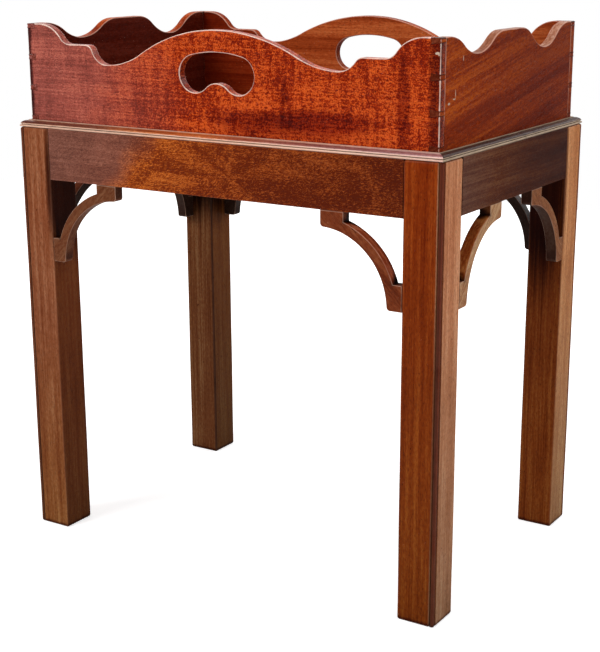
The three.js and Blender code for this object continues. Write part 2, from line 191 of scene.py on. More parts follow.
@dataclass
class Outline:
    """Closed outline that keeps the wood on its left, with the ease of its arris at each point.

    Args:
        rows: One row for each point: across, up, and ease.
        pitch: Longest step between points once it is refined.
        waver: How far the hand that eased it strays, as a share of the ease.
        sharp: Turn in degrees from which a corner is shaded as an edge.
    """

    rows: np.ndarray
    pitch: float = 1.6
    waver: float = 0.0
    sharp: float = 32.0

    def __post_init__(self) -> None:
        """Drops repeated points, then splits each long step evenly into short ones."""
        step = np.linalg.norm((self.rows - np.roll(self.rows, 1, axis=0))[:, :2], axis=1)
        rows = self.rows[step > SAME_POINT]
        onward = np.roll(rows, -1, axis=0) - rows
        count = np.maximum(1, np.ceil(np.linalg.norm(onward[:, :2], axis=1) / self.pitch)).astype(int)
        index = np.repeat(np.arange(len(rows)), count)
        first = np.cumsum(count) - count
        share = (np.arange(len(index)) - first[index]) / count[index]
        rows = rows[index] + onward[index] * share[:, None]
        self.points = rows[:, :2]
        travel = np.cumsum(np.linalg.norm(np.diff(self.points, axis=0, prepend=self.points[:1]), axis=1))
        self.ease = rows[:, 2] * (1 + self.waver * straying(travel))
        onward = np.roll(self.points, -1, axis=0) - self.points
        onward /= np.linalg.norm(onward, axis=1, keepdims=True)
        out = np.stack([onward[:, 1], -onward[:, 0]], axis=1)
        came = np.roll(out, 1, axis=0)
        agree = np.sum(out * came, axis=1, keepdims=True)
        even = (out + came) / np.linalg.norm(out + came, axis=1, keepdims=True)
        soft = agree > math.cos(math.radians(self.sharp))
        self.mitre = -(out + came) / (1 + agree)
        self.before = np.where(soft, even, came)
        self.after = np.where(soft, even, out)
        self.turning = np.arctan2(came[:, 0] * out[:, 1] - came[:, 1] * out[:, 0], agree[:, 0])

    def worn(self, reach: float, way: float = 1.0) -> np.ndarray:
        """How sharply the outline turns near each point, as a share of a right angle.

        The turning angles, each times exp(-(distance / reach)^2), are summed.

        Args:
            reach: Distance over which a corner is felt.
            way: 1 for corners that stand out, -1 for those that go in.

        Returns:
            One value from 0 to 1 for each point.
        """
        gap = np.linalg.norm(self.points[:, None] - self.points[None], axis=2)
        felt = np.exp(-(gap / reach) ** 2) @ np.maximum(way * self.turning, 0)
        return np.clip(felt / (math.pi / 2), 0, 1)


@dataclass
class Shell:
    """Closed skin: points, quads and triangles, with a normal at each corner of each face."""

    points: np.ndarray
    arris: np.ndarray
    recess: np.ndarray
    quads: np.ndarray
    quad_normals: np.ndarray
    tris: np.ndarray
    tri_normals: np.ndarray

    def placed(self, turn: np.ndarray, origin: np.ndarray) -> "Shell":
        """The skin in another frame, its faces turned to look outwards there.

        Args:
            turn: Matrix whose columns are the frame's directions.
            origin: Its origin.

        Returns:
            The placed skin.
        """
        points = self.points @ turn.T + origin
        fan = np.vstack([self.quads[:, [0, 1, 2]], self.quads[:, [0, 2, 3]], self.tris])
        a, b, c = (points[fan[:, i]] for i in range(3))
        step = 1 if np.sum(a * np.cross(b, c)) > 0 else -1
        return Shell(points, self.arris, self.recess, self.quads[:, ::step],
                     (self.quad_normals @ turn.T)[:, ::step], self.tris[:, ::step],
                     (self.tri_normals @ turn.T)[:, ::step])


def lid(rings: list[np.ndarray], flat: list[np.ndarray], normal: Triple) -> tuple[np.ndarray, np.ndarray]:
    """Triangles that fill a flat face inside its outer ring and outside the others.

    Args:
        rings: Point numbers of each ring.
        flat: Their places in the plane of the face.
        normal: Normal of the face.

    Returns:
        The triangles and the normals of their corners.
    """
    lines = [[Vector((x, y, 0.0)) for x, y in ring] for ring in flat]
    numbers = np.concatenate(rings)
    place = np.vstack(flat)
    picked = np.array(tessellate_polygon(lines))
    a, b, c = (place[picked[:, i]] for i in range(3))
    area = (b[:, 0] - a[:, 0]) * (c[:, 1] - a[:, 1]) - (b[:, 1] - a[:, 1]) * (c[:, 0] - a[:, 0])
    picked = np.where(area[:, None] < 0, picked[:, ::-1], picked)
    picked = numbers[picked[np.abs(area) > NO_AREA]]
    return picked, np.broadcast_to(np.array(normal, float), (*picked.shape, 3))


def banded(rings: np.ndarray, before: np.ndarray, after: np.ndarray,
           start: int) -> tuple[np.ndarray, np.ndarray]:
    """Quads between neighbouring closed rings of matching points.

    Args:
        rings: Ring, point, and coordinate.
        before: Normals for the side of each point that its ring comes from.
        after: Normals for the side that it goes on to.
        start: Number of the first point.

    Returns:
        The quads and the normals of their corners.
    """
    count, length = rings.shape[:2]
    number = start + np.arange(count * length).reshape(count, length)
    onward = np.roll(number, -1, axis=1)
    quads = np.stack([number[:-1], onward[:-1], onward[1:], number[1:]], axis=2)
    ahead = np.roll(before, -1, axis=1)
    normals = np.stack([after[:-1], ahead[:-1], ahead[1:], after[1:]], axis=2)
    return quads.reshape(-1, 4), normals.reshape(-1, 4, 3)


def slab(outlines: list[Outline], thickness: float, steps: int = 5, spread: float = 2.4) -> Shell:
    """Board of one thickness whose arrises are eased to quarter rounds on both faces.

    At angle a a ring lies ease * (1 - sin a) in from the outline and ease * (1 - cos a) under the
    face, and its normal leans out by a. One more ring on the face and one on the edge, spread
    times the ease away, end the worn colour and painted highlight.

    Args:
        outlines: The outer outline, then those of holes.
        thickness: Thickness, towards +Z from 0.
        steps: Rings on each arris.
        spread: Reach of the worn colour and painted highlight, in eases.

    Returns:
        The closed skin, with the outlines in its XY plane.
    """
    angle = np.radians(np.linspace(0, 90, steps + 1))
    inset = np.concatenate([[spread], 1 - np.sin(angle), [0]])
    drop = np.concatenate([[0], 1 - np.cos(angle), [spread]])
    lean = np.concatenate([[0], np.sin(angle), [1]])
    level = np.concatenate([[1], np.cos(angle), [0]])
    value = np.concatenate([[0], 0.35 + 0.65 * np.sin(2 * angle), [0]])
    points, arris, recess, quads, quad_normals = [], [], [], [], []
    faces = {0: ([], []), 1: ([], [])}
    start = 0
    for outline in outlines:
        across = outline.points + outline.mitre * (inset[:, None, None] * outline.ease[:, None])
        depth = drop[:, None] * outline.ease
        under = np.minimum(depth, thickness / 2)
        front = np.dstack([across, under])
        back = np.dstack([across, thickness - under])[::-1]
        rings = np.concatenate([front, back])
        sides = []
        for plan in (outline.before, outline.after):
            out = plan * lean[:, None, None]
            near, far = (np.dstack([out, np.broadcast_to(way * level[:, None], depth.shape)])
                         for way in (-1, 1))
            sides.append(np.concatenate([near, far[::-1]]))
        made, normals = banded(rings, *sides, start)
        quads.append(made)
        quad_normals.append(normals)
        # Worn colour and painted highlight along the arrises.
        edge = value[:, None] * np.clip(outline.ease / FULL_EASE, 0, 1)
        edge = np.clip(edge * (0.8 + 0.6 * outline.worn(BOARD_WEAR_AND_HIGHLIGHT)), 0, 1)
        arris.append(np.concatenate([edge, edge[::-1]]).ravel())
        # Dirt in joints, and painted shade in inner corners.
        joint = np.where(outline.ease < JOINT_EASE, JOINT_DIRT, 0.0)
        inner = np.maximum(outline.worn(BOARD_DIRT_AND_SHADE, -1.0), joint) * (inset < spread)[:, None]
        recess.append(np.concatenate([inner, inner[::-1]]).ravel())
        length = len(outline.points)
        for end, first in ((0, start), (1, start + (len(rings) - 1) * length)):
            faces[end][0].append(first + np.arange(length))
            faces[end][1].append(across[0])
        points.append(rings.reshape(-1, 3))
        start += rings.shape[0] * length
    lids = [lid(*faces[0], (0, 0, -1)), lid(*faces[1], (0, 0, 1))]
    lids[0] = (lids[0][0][:, ::-1], lids[0][1])
    return Shell(np.vstack(points), np.concatenate(arris), np.concatenate(recess),
                 np.vstack(quads), np.vstack(quad_normals), np.vstack([lids[0][0], lids[1][0]]),
                 np.vstack([lids[0][1], lids[1][1]]))


def post(section: Outline, height: float, ease: float, middle: Pair, waver: float = 0.0,
         steps: int = 4, stations: int = 24) -> Shell:
    """Section carried straight up, and drawn in towards its middle at both ends.

    At height z the section is its middle plus k times the rest. Between the ends k is 1, less a
    slow waver, and on each end's quarter round ease * (1 - sin a) / half width comes off it too.

    Args:
        section: The section.
        height: Height of the post.
        ease: Radius of the quarter rounds at its ends.
        middle: Middle of the section.
        waver: How far the faces stray from straight, in millimetres.
        steps: Rings on each quarter round.
        stations: Rings between them.

    Returns:
        The closed skin.
    """
    half = float(np.max(np.abs(section.points - middle)))
    angle = np.radians(np.linspace(0, 90, steps + 1))
    foot = ease * (1 - np.cos(angle))
    shaft = np.linspace(ease, height - ease, stations + 2)[1:-1]
    level = np.concatenate([foot, shaft, height - foot[::-1]])
    pull = ease * (1 - np.sin(angle)) / half
    draw = np.concatenate([pull, np.zeros(stations), pull[::-1]])
    lean = np.concatenate([np.sin(angle), np.ones(stations), np.sin(angle)[::-1]])
    tilt = np.concatenate([-np.cos(angle), np.zeros(stations), np.cos(angle)[::-1]])
    stray = -waver / half * (0.5 + 0.5 * np.sin(level / 83.0) * np.sin(level / 37.0 + 1.0))
    scale = (1 - draw + stray)[:, None, None]
    plan = np.array(middle) + (section.points - middle) * scale
    rings = np.dstack([plan, np.broadcast_to(level[:, None], plan.shape[:2])])
    sides = [np.dstack([way * lean[:, None, None], np.broadcast_to(tilt[:, None], plan.shape[:2])])
             for way in (section.before, section.after)]
    quads, normals = banded(rings, *sides, 0)
    length = len(section.points)
    ends = [np.arange(length), (len(rings) - 1) * length + np.arange(length)]
    low = lid([ends[0]], [plan[0]], (0, 0, -1))
    high = lid([ends[1]], [plan[-1]], (0, 0, 1))
    # Worn colour and painted highlight on the bead and the corners.
    edge = section.worn(POST_WEAR_AND_HIGHLIGHT)
    ring = np.concatenate([np.sin(2 * angle), np.zeros(stations), np.sin(2 * angle)[::-1]])
    arris = np.maximum(np.broadcast_to(edge, plan.shape[:2]), ring[:, None])
    # Dirt and painted shade in the quirks.
    recess = np.broadcast_to(section.worn(POST_DIRT_AND_SHADE, -1.0), plan.shape[:2])
    return Shell(rings.reshape(-1, 3), arris.ravel(), recess.ravel(), quads, normals,
                 np.vstack([low[0][:, ::-1], high[0]]), np.vstack([low[1], high[1]]))


def mitred(profile: Outline, length: float, gap: float, stations: int = 40) -> Shell:
    """Profile carried along X and cut at 45 degrees at both ends.

    At share t of the way a point that stands u in lies at x = (2 t - 1) (length / 2 - gap - u).

    Args:
        profile: Outline of the section: in from the outer face, and up.
        length: Length along the outer face.
        gap: Clearance kept at each mitre.
        stations: Number of rings.

    Returns:
        The closed skin: along, in, and up.
    """
    share = 2 * np.linspace(0, 1, stations)[:, None] - 1
    along = share * (length / 2 - gap - profile.points[:, 0])
    plan = np.broadcast_to(profile.points, (stations, *profile.points.shape))
    rings = np.concatenate([along[:, :, None], plan], axis=2)
    flat = np.zeros((*along.shape, 1))
    sides = [np.concatenate([flat, np.broadcast_to(way, plan.shape)], axis=2)
             for way in (profile.before, profile.after)]
    quads, normals = banded(rings, *sides, 0)
    count = len(profile.points)
    slope = math.sqrt(0.5)
    low = lid([np.arange(count)], [profile.points], (-slope, -slope, 0))
    high = lid([(stations - 1) * count + np.arange(count)], [profile.points], (slope, -slope, 0))
    # Worn colour and painted highlight on the outer corners of the profile.
    edge = np.broadcast_to(profile.worn(STRIP_WEAR_AND_HIGHLIGHT), along.shape)
    # Dirt and painted shade in the inner corners of the profile.
    recess = np.broadcast_to(profile.worn(STRIP_DIRT_AND_SHADE, -1.0), along.shape)
    return Shell(rings.reshape(-1, 3), edge.ravel(), recess.ravel(), quads, normals,
                 np.vstack([low[0][:, ::-1], high[0]]), np.vstack([low[1], high[1]]))


def put_in(name: str, data: bpy.types.ID) -> bpy.types.Object:
    """Puts a new object of some data into the scene.

    Args:
        name: Name of the object.
        data: Its mesh, lamp or camera.

    Returns:
        The object.
    """
    made = bpy.data.objects.new(name, data)
    bpy.context.scene.collection.objects.link(made)
    return made


def add_piece(name: str, shells: list[Shell], body: str, material: bpy.types.Material) -> None:
    """Makes one object of closed skins, in place of the solid of the same name.

    Args:
        name: Name of the solid that it stands for.
        shells: Skins in millimetres, in the object's own frame.
        body: Body that it rides on.
        material: Its material.
    """
    offsets = np.cumsum([0] + [len(shell.points) for shell in shells[:-1]])
    points = np.vstack([shell.points for shell in shells]) * METRE
    quads = np.vstack([shell.quads + first for shell, first in zip(shells, offsets)])
    tris = np.vstack([shell.tris + first for shell, first in zip(shells, offsets)])
    normals = np.vstack([shell.quad_normals.reshape(-1, 3) for shell in shells]
                        + [shell.tri_normals.reshape(-1, 3) for shell in shells])
    normals = normals / np.linalg.norm(normals, axis=1, keepdims=True)
    mesh = bpy.data.meshes.new(name + "_dressed")
    mesh.from_pydata(points.tolist(), [], quads.tolist() + tris.tolist(), shade_flat=False)
    mesh.normals_split_custom_set(normals.tolist())
    for label in ("arris", "recess"):
        values = np.concatenate([getattr(shell, label) for shell in shells]).astype(np.float32)
        mesh.attributes.new(label, "FLOAT", "POINT").data.foreach_set("value", values)
    mesh.materials.append(material)
    piece = put_in(name + "_dressed", mesh)
    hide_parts(name)
    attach(piece, body)
    LOG.info("%s: %d points, %d faces", name, len(points), len(quads) + len(tris))


def colour(code: str) -> tuple[float, float, float, float]:
    """Scene-linear colour of a six-figure colour code, by the sRGB curve.

    Args:
        code: Colour code without its mark.

    Returns:
        Red, green, blue and an alpha of 1.
    """
    shown = np.array([int(code[i:i + 2], 16) for i in (0, 2, 4)]) / 255
    linear = np.where(shown <= 0.04045, shown / 12.92, ((shown + 0.055) / 1.055) ** 2.4)
    return (*(float(value) for value in linear), 1.0)


class Graph:
    """Short ways to add and join the nodes of one tree."""

    def __init__(self, tree: bpy.types.NodeTree) -> None:
        """Keeps the tree that the nodes go into."""
        self.tree = tree

    def add(self, kind: str, feeds: dict | None = None, **settings: object) -> bpy.types.Node:
        """Adds a node.

        Args:
            kind: Type of the node.
            feeds: Value or socket for inputs, by name or number.
            settings: Properties of the node.

        Returns:
            The node.
        """
        node = self.tree.nodes.new(kind)
        for name, value in settings.items():
            setattr(node, name, value)
        for key, value in (feeds or {}).items():
            if isinstance(value, Socket):
                self.tree.links.new(value, node.inputs[key])
            elif value is not None:
                node.inputs[key].default_value = value
        return node

    def math(self, operation: str, *values: float | Socket, clamp: bool = False) -> Socket:
        """One step of arithmetic on up to three values."""
        node = self.add("ShaderNodeMath", dict(enumerate(values)), operation=operation, use_clamp=clamp)
        return node.outputs[0]

    def _vectors(self, operation: str, feeds: dict) -> bpy.types.NodeOutputs:
        """Outputs of one step of arithmetic on vectors."""
        return self.add("ShaderNodeVectorMath", feeds, operation=operation).outputs

    def times(self, vector: Socket, scale: Triple) -> Socket:
        """A vector with each part multiplied."""
        return self._vectors("MULTIPLY", {0: vector, 1: scale})[0]

    def plus(self, vector: Socket, other: Socket | Triple) -> Socket:
        """The sum of two vectors."""
        return self._vectors("ADD", {0: vector, 1: other})[0]

    def scaled(self, vector: Socket, factor: Socket) -> Socket:
        """A vector times one number."""
        return self._vectors("SCALE", {0: vector, "Scale": factor})[0]

    def length(self, vector: Socket) -> Socket:
        """Length of a vector."""
        return self._vectors("LENGTH", {0: vector})["Value"]

    def facing(self, vector: Socket, way: Triple) -> Socket:
        """How far a direction looks the same way as another: their dot product."""
        return self._vectors("DOT_PRODUCT", {0: vector, 1: way})["Value"]

    def drift(self, vector: Socket, scale: Triple) -> Socket:
        """A vector that wanders about zero: coloured noise less 0.5."""
        feeds = {"Vector": self.times(vector, scale), "Scale": 1.0, "Detail": 2.0}
        return self.plus(self.add("ShaderNodeTexNoise", feeds).outputs[1], (-0.5, -0.5, -0.5))

    def noise(self, vector: Socket, scale: Triple, detail: float = 2.0, rough: float = 0.5,
              bend: float = 0.0) -> Socket:
        """Smooth noise about 0.5, drawn out by a scale for each direction.

        Args:
            vector: Where it is read.
            scale: Bumps in a metre along each direction.
            detail: Finer layers on top of the first.
            rough: Weight of those layers.
            bend: How far it is folded into itself.

        Returns:
            The noise.
        """
        feeds = {"Vector": self.times(vector, scale), "Scale": 1.0, "Detail": detail,
                 "Roughness": rough, "Distortion": bend}
        return self.add("ShaderNodeTexNoise", feeds).outputs[0]

    def between(self, value: Socket, low: float | Socket, high: float | Socket,
                first: float = 0.0, last: float = 1.0) -> Socket:
        """Smooth step from first to last as a value goes from low to high."""
        feeds = {"Value": value, "From Min": low, "From Max": high, "To Min": first, "To Max": last}
        return self.add("ShaderNodeMapRange", feeds, interpolation_type="SMOOTHSTEP").outputs[0]

    def blend(self, share: float | Socket, below: Socket | tuple, above: Socket | tuple,
              way: str = "MIX") -> Socket:
        """A share of one colour laid over another."""
        node = self.add("ShaderNodeMix", {0: share, 6: below, 7: above}, data_type="RGBA", blend_type=way)
        return node.outputs[2]

    def patch(self, vector: Socket, where: Triple, reach: Triple, rag: Socket, raggedness: float) -> Socket:
        """Distance from a place as a share of a reach, with a ragged edge.

        Args:
            vector: Where it is read.
            where: Middle of the patch in metres.
            reach: How far it goes in each direction in metres.
            rag: Noise about 0.5 that breaks the edge up.
            raggedness: Share of the reach that the noise adds or takes.

        Returns:
            A value that is 0 in the middle and about 1 at the edge.
        """
        away = self.times(self.plus(vector, tuple(-part for part in where)),
                          tuple(1 / part for part in reach))
        return self.about_half(rag, raggedness, self.length(away))

    def about_half(self, value: Socket, depth: float | Socket, total: Socket | float) -> Socket:
        """Adds a value's distance from 0.5, times a depth, to a total."""
        return self.math("MULTIPLY_ADD", self.math("SUBTRACT", value, 0.5), depth, total)

    def ramp(self, value: Socket, stops: tuple[tuple[float, tuple], ...]) -> Socket:
        """Colour looked up along a ramp.

        Args:
            value: Place on the ramp, 0 to 1.
            stops: Place and colour of each stop, in order.

        Returns:
            The colour.
        """
        node = self.add("ShaderNodeValToRGB", {0: value})
        elements = node.color_ramp.elements
        elements[0].position, elements[0].color = stops[0]
        elements[1].position, elements[1].color = stops[-1]
        for place, shade in stops[1:-1]:
            elements.new(place).color = shade
        return node.outputs[0]

    def levels(self, value: Socket, stops: tuple[Pair, ...]) -> Socket:
        """Value looked up along a ramp: place and value of each stop, in order."""
        return self.ramp(value, tuple((place, (level, level, level, 1.0)) for place, level in stops))

    def finish(self, shader: bpy.types.Node, kind: str = "ShaderNodeOutputMaterial") -> None:
        """Joins a shader to an output of that kind."""
        self.tree.links.new(shader.outputs[0], self.add(kind).inputs[0])


def blank_material(name: str) -> tuple[bpy.types.Material, Graph]:
    """Makes a material with no nodes, and the graph that they go into.

    Args:
        name: Name of the material.

    Returns:
        The material and its graph.
    """
    material = bpy.data.materials.new(name)
    material.use_nodes = True
    material.node_tree.nodes.clear()
    return material, Graph(material.node_tree)


class Pattern:
    """One shared effect, kept as a node group with named inputs and outputs."""

    def __init__(self, name: str, inputs: dict[str, float | None], outputs: dict[str, str]) -> None:
        """Opens the group and its ends.

        Args:
            name: Name of the group.
            inputs: Starting value of each input, or None for a vector.
            outputs: Kind of each output.
        """
        self.tree = bpy.data.node_groups.new(name, "ShaderNodeTree")
        for label, value in inputs.items():
            kind = VECTOR if value is None else FLOAT
            made = self.tree.interface.new_socket(name=label, in_out="INPUT", socket_type=kind)
            if value is not None:
                made.default_value = value
        for label, kind in outputs.items():
            self.tree.interface.new_socket(name=label, in_out="OUTPUT", socket_type=kind)
        self.graph = Graph(self.tree)
        self.inputs = self.graph.add("NodeGroupInput").outputs
        self.exit = self.graph.add("NodeGroupOutput")

    def give(self, label: str, socket: Socket) -> None:
        """Joins a result to the output of that name."""
        self.tree.links.new(socket, self.exit.inputs[label])

    def use(self, graph: Graph, **feeds: float | Socket) -> bpy.types.NodeOutputs:
        """Places the group in a material.

        Args:
            graph: Nodes of the material.
            feeds: Values or sockets for its inputs.

        Returns:
            Outputs of the group node.
        """
        return graph.add("ShaderNodeGroup", feeds, node_tree=self.tree).outputs


def interlocked_grain() -> Pattern:
    """Straight mahogany grain that runs along X: ribbons, fibres, short flecks and pores.

    Returns:
        The pattern: its masks and heights are its outputs.
    """
    pattern = Pattern("interlocked_grain", {"Vector": None, "Wander": 0.004, "Ribbons": 70.0},
                      {"Ribbon": FLOAT, "Fibre": FLOAT, "Fleck": FLOAT, "Pores": FLOAT, "Course": VECTOR})
    graph = pattern.graph
    vector = pattern.inputs["Vector"]
    drift = graph.drift(vector, (2.2, 6.0, 6.0))
    course = graph.plus(vector, graph.scaled(drift, pattern.inputs["Wander"]))
    spaced = graph.scaled(course, pattern.inputs["Ribbons"])
    pattern.give("Ribbon", graph.noise(spaced, (0.022, 1.0, 0.7), 3.0, 0.6))
    pattern.give("Fibre", graph.noise(course, (9.0, 420.0, 420.0), 3.0, 0.65))
    pattern.give("Fleck", graph.noise(course, (170.0, 380.0, 380.0), 1.0, 0.5))
    pores = graph.noise(course, (260.0, 2600.0, 2600.0), 0.0)
    pattern.give("Pores", graph.between(pores, 0.60, 0.72))
    pattern.give("Course", course)
    return pattern


def fiddleback() -> Pattern:
    """Where wavy fibres turn the light: bands across the grain, drips down them, and fine mottle.

    Returns:
        The pattern.
    """
    pattern = Pattern("fiddleback", {"Vector": None, "Bands": 60.0},
                      {"Band": FLOAT, "Drip": FLOAT, "Mottle": FLOAT})
    graph = pattern.graph
    vector = pattern.inputs["Vector"]
    spaced = graph.scaled(vector, pattern.inputs["Bands"])
    broad = graph.noise(spaced, (1.0, 0.2, 0.2), 1.0, 0.5, 0.3)
    fine = graph.noise(spaced, (2.6, 0.4, 0.4), 2.0, 0.6, 0.2)
    both = graph.math("ADD", graph.math("MULTIPLY", broad, 0.55), graph.math("MULTIPLY", fine, 0.45))
    pattern.give("Band", graph.between(both, 0.38, 0.62))
    pattern.give("Drip", graph.between(graph.noise(spaced, (4.2, 0.8, 0.8), 2.0, 0.7), 0.3, 0.7))
    mottle = graph.noise(vector, (640.0, 600.0, 600.0), 1.0, 0.6, 0.4)
    pattern.give("Mottle", graph.between(mottle, 0.32, 0.68))
    return pattern


def feather() -> Pattern:
    """Curls of a crotch: bands that bend round a centre and break into short curly fibres.

    With r the distance from the centre and a the angle round it, the bands are noise of
    (r * bands, a). The curls are noise drawn out along a slant.

    Returns:
        The pattern.
    """
    pattern = Pattern("feather", {"Vector": None, "Bands": 42.0},
                      {"Band": FLOAT, "Curl": FLOAT, "Mottle": FLOAT})
    graph = pattern.graph
    vector = pattern.inputs["Vector"]
    drift = graph.times(graph.drift(vector, (9.0, 16.0, 16.0)), (0.05, 0.05, 0.05))
    bent = graph.plus(graph.times(vector, (1.0, 1.7, 1.7)), drift)
    radius = graph.length(bent)
    parts = graph.add("ShaderNodeSeparateXYZ", {0: bent}).outputs
    angle = graph.math("ARCTAN2", parts[1], parts[0])
    rings = graph.math("MULTIPLY", radius, pattern.inputs["Bands"])
    place = graph.add("ShaderNodeCombineXYZ", {0: rings, 1: angle, 2: graph.math("MULTIPLY", parts[2], 20.0)})
    pattern.give("Band", graph.between(graph.noise(place.outputs[0], (1.3, 1.4, 1.0), 3.0, 0.6), 0.36, 0.64))
    slanted = graph.add("ShaderNodeMapping", {"Vector": bent, "Rotation": (0.0, 0.0, -0.5)}).outputs[0]
    curl = graph.noise(slanted, (240.0, 560.0, 560.0), 2.0, 0.65, 0.8)
    pattern.give("Curl", graph.between(curl, 0.42, 0.72))
    mottle = graph.noise(vector, (640.0, 640.0, 640.0), 1.0, 0.5, 1.0)
    pattern.give("Mottle", graph.between(mottle, 0.35, 0.65))
    return pattern


def edge_wear_and_highlight() -> Pattern:
    """Where hands have rubbed through the polish, and where highlights are painted: the arrises, broken up by
    noise.

    Returns:
        The pattern.
    """
    pattern = Pattern("edge_wear_and_highlight", {"Vector": None, "Arris": 0.0, "Amount": 1.0}, {"Mask": FLOAT})
    graph = pattern.graph
    rough = graph.noise(pattern.inputs["Vector"], (38.0, 38.0, 38.0), 4.0, 0.65)
    value = graph.math("MULTIPLY", pattern.inputs["Arris"], graph.math("MULTIPLY_ADD", rough, 1.5, 0.25))
    mask = graph.between(value, 0.25, 0.85)
    pattern.give("Mask", graph.math("MULTIPLY", mask, pattern.inputs["Amount"], clamp=True))
    return pattern


def long_use() -> Pattern:
    """Blotches of old polish, pale nicks and dark specks, and the roughness that they leave.

    Returns:
        The pattern.
    """
    pattern = Pattern("long_use", {"Vector": None, "Rough": 0.3, "Spread": 0.1},
                      {"Blotch": FLOAT, "Nicks": FLOAT, "Specks": FLOAT, "Roughness": FLOAT, "Height": FLOAT})
    graph = pattern.graph
    vector = pattern.inputs["Vector"]
    blotch = graph.noise(vector, (11.0, 15.0, 15.0), 4.0, 0.6)
    pattern.give("Blotch", blotch)
    slanted = graph.add("ShaderNodeMapping", {"Vector": vector, "Rotation": (0.3, 0.5, 0.9)}).outputs[0]
    nicks = graph.noise(slanted, (45.0, 620.0, 620.0), 1.0)
    pattern.give("Nicks", graph.between(nicks, 0.765, 0.80))
    pattern.give("Specks", graph.between(graph.noise(vector, (210.0, 260.0, 260.0), 1.0), 0.74, 0.80))
    smear = graph.noise(vector, (28.0, 90.0, 90.0), 3.0, 0.6)
    pattern.give("Roughness", graph.about_half(smear, pattern.inputs["Spread"], pattern.inputs["Rough"]))
    pattern.give("Height", graph.noise(vector, (16.0, 45.0, 45.0), 2.0, 0.4))
    return pattern


@dataclass(frozen=True)
class Tone:
    """A wood's own colour, and how far its dark and light fibres lie from it.

    The dark colour is the middle one times exp(-spread * fall) and the light one is it times
    exp(spread * rise), for each of red, green and blue.
    """

    middle: str
    spread: float = 1.0
    fall: Triple = (0.50, 0.80, 1.10)
    rise: Triple = (0.42, 0.80, 1.05)

    def stops(self) -> tuple[tuple[float, tuple], ...]:
        """Stops of the ramp from the dark colour to the light one.

        Returns:
            Place and colour of each stop.
        """
        middle = np.array(colour(self.middle)[:3])
        dark = middle * np.exp(-self.spread * np.array(self.fall))
        light = np.minimum(middle * np.exp(self.spread * np.array(self.rise)), 0.95)
        return tuple((place, (*(float(part) for part in shade), 1.0))
                     for place, shade in ((0.1, dark), (0.5, middle), (0.9, light)))


@dataclass(frozen=True)
class Cut:
    """How a piece is sawn from the log, its marks, and the painted light and shade laid on it.

    Args:
        grain: Direction that the grain runs in.
        face: Direction that the wide face looks in.
        offset: Place in the log in metres.
        span: Ends of the piece along its grain in metres.
        tone: Its own tone, where it differs from the wood's.
        shades: Share of the span, and the colour that multiplies the wood there.
        faces: Direction of a face, and the tone on it, which mostly paints the light and shade that fall on
            that side.
        face_shades: The same as shades, for those faces; there it paints shade.
        bloom_and_sheen: Share of the span, and how much of a pale veil lies there: painted reflection on the
            front tray board and the front moulding, dulled polish on the aprons.
        bloom_and_sheen_colour: Colour of that veil.
        lean: How far its shades and veil lean along the grain for each metre across it.
        chips: Place and reach of small bruises and scratches in metres.
        stains_and_shade: Place and reach of soft patches in metres, and the colour that multiplies the wood
            there: stains, and painted shade.
        figured: Share of the span, and how strongly the figure shows there.
        centre: Centre of the feather figure, along the grain and across it.
    """

    grain: Triple = (1.0, 0.0, 0.0)
    face: Triple = (0.0, -1.0, 0.0)
    offset: Triple = (0.0, 0.0, 0.0)
    span: Pair = (-0.3, 0.3)
    tone: Tone | None = None
    shades: tuple[tuple[float, str], ...] = ()
    faces: tuple[tuple[Triple, Tone], ...] = ()
    face_shades: tuple[tuple[float, str], ...] = ()
    bloom_and_sheen: tuple[Pair, ...] = ()
    bloom_and_sheen_colour: str = "a07878"
    lean: float = 0.0
    chips: tuple[tuple[Triple, Triple], ...] = ()
    stains_and_shade: tuple[tuple[Triple, Triple, str], ...] = ()
    figured: tuple[Pair, ...] = ()
    centre: Pair = (0.0, 0.0)

    def turn(self) -> tuple[float, float, float]:
        """Turn that brings the grain onto X and the face onto Z.

        Returns:
            Turn about each axis in radians.
        """
        grain = Vector(self.grain).normalized()
        face = Vector(self.face).normalized()
        return tuple(Matrix((grain, face.cross(grain), face)).to_euler())


@dataclass(frozen=True)
class Wood:
    """One wood as it is polished: its tone, its figure and its gloss.

    Args:
        name: Name that its materials end in.
        tone: Its colour.
        pore: Colour of pores and dark specks.
        worn: Colour where the polish has been rubbed through, which also paints the highlights on the
            arrises.
        figure: Pattern that it shows besides its straight grain.
        bands: Bands of the figure in a metre.
        figure_depth: How strongly the figure shows.
        figure_weights: Share of that for each output of the figure.
        ribbon_depth: How strongly the broad ribbons show.
        fibre_depth: How strongly the fibres show.
        fleck_depth: How strongly the short flecks show.
        blotch_depth: How strongly the broad blotches show.
        ribbons: Ribbons in a metre across the grain.
        wander: How far the grain wanders, in metres.
        wear_and_highlight: How much of the worn colour the arrises show, as rubbing and as painted highlight.
        end_dark: How much darker end grain is.
        recess_dirt_and_shade: How much dirt fills joints, and how much painted shade fills inner corners.
        nicks: How much fine nicks show.
        roughness: Roughness of the polish.
        gloss: Specular level of the wood.
        coat: Weight of the polish.
        coat_roughness: Roughness of the polish's own surface.
        relief: Height of the surface's relief in metres.
    """

    name: str
    tone: Tone
    pore: str = "1c0a05"
    worn: str = "c08a74"
    figure: Figure = Figure.STRAIGHT
    bands: float = 60.0
    figure_depth: float = 0.0
    figure_weights: Triple = (1.0, 0.7, 0.8)
    ribbon_depth: float = 0.6
    fibre_depth: float = 0.7
    fleck_depth: float = 0.6
    blotch_depth: float = 0.5
    ribbons: float = 70.0
    wander: float = 0.006
    wear_and_highlight: float = 0.6
    end_dark: float = 0.6
    recess_dirt_and_shade: float = 0.85
    nicks: float = 0.15
    roughness: float = 0.28
    gloss: float = 0.3
    coat: float = 0.3
    coat_roughness: float = 0.12
    relief: float = 0.0002


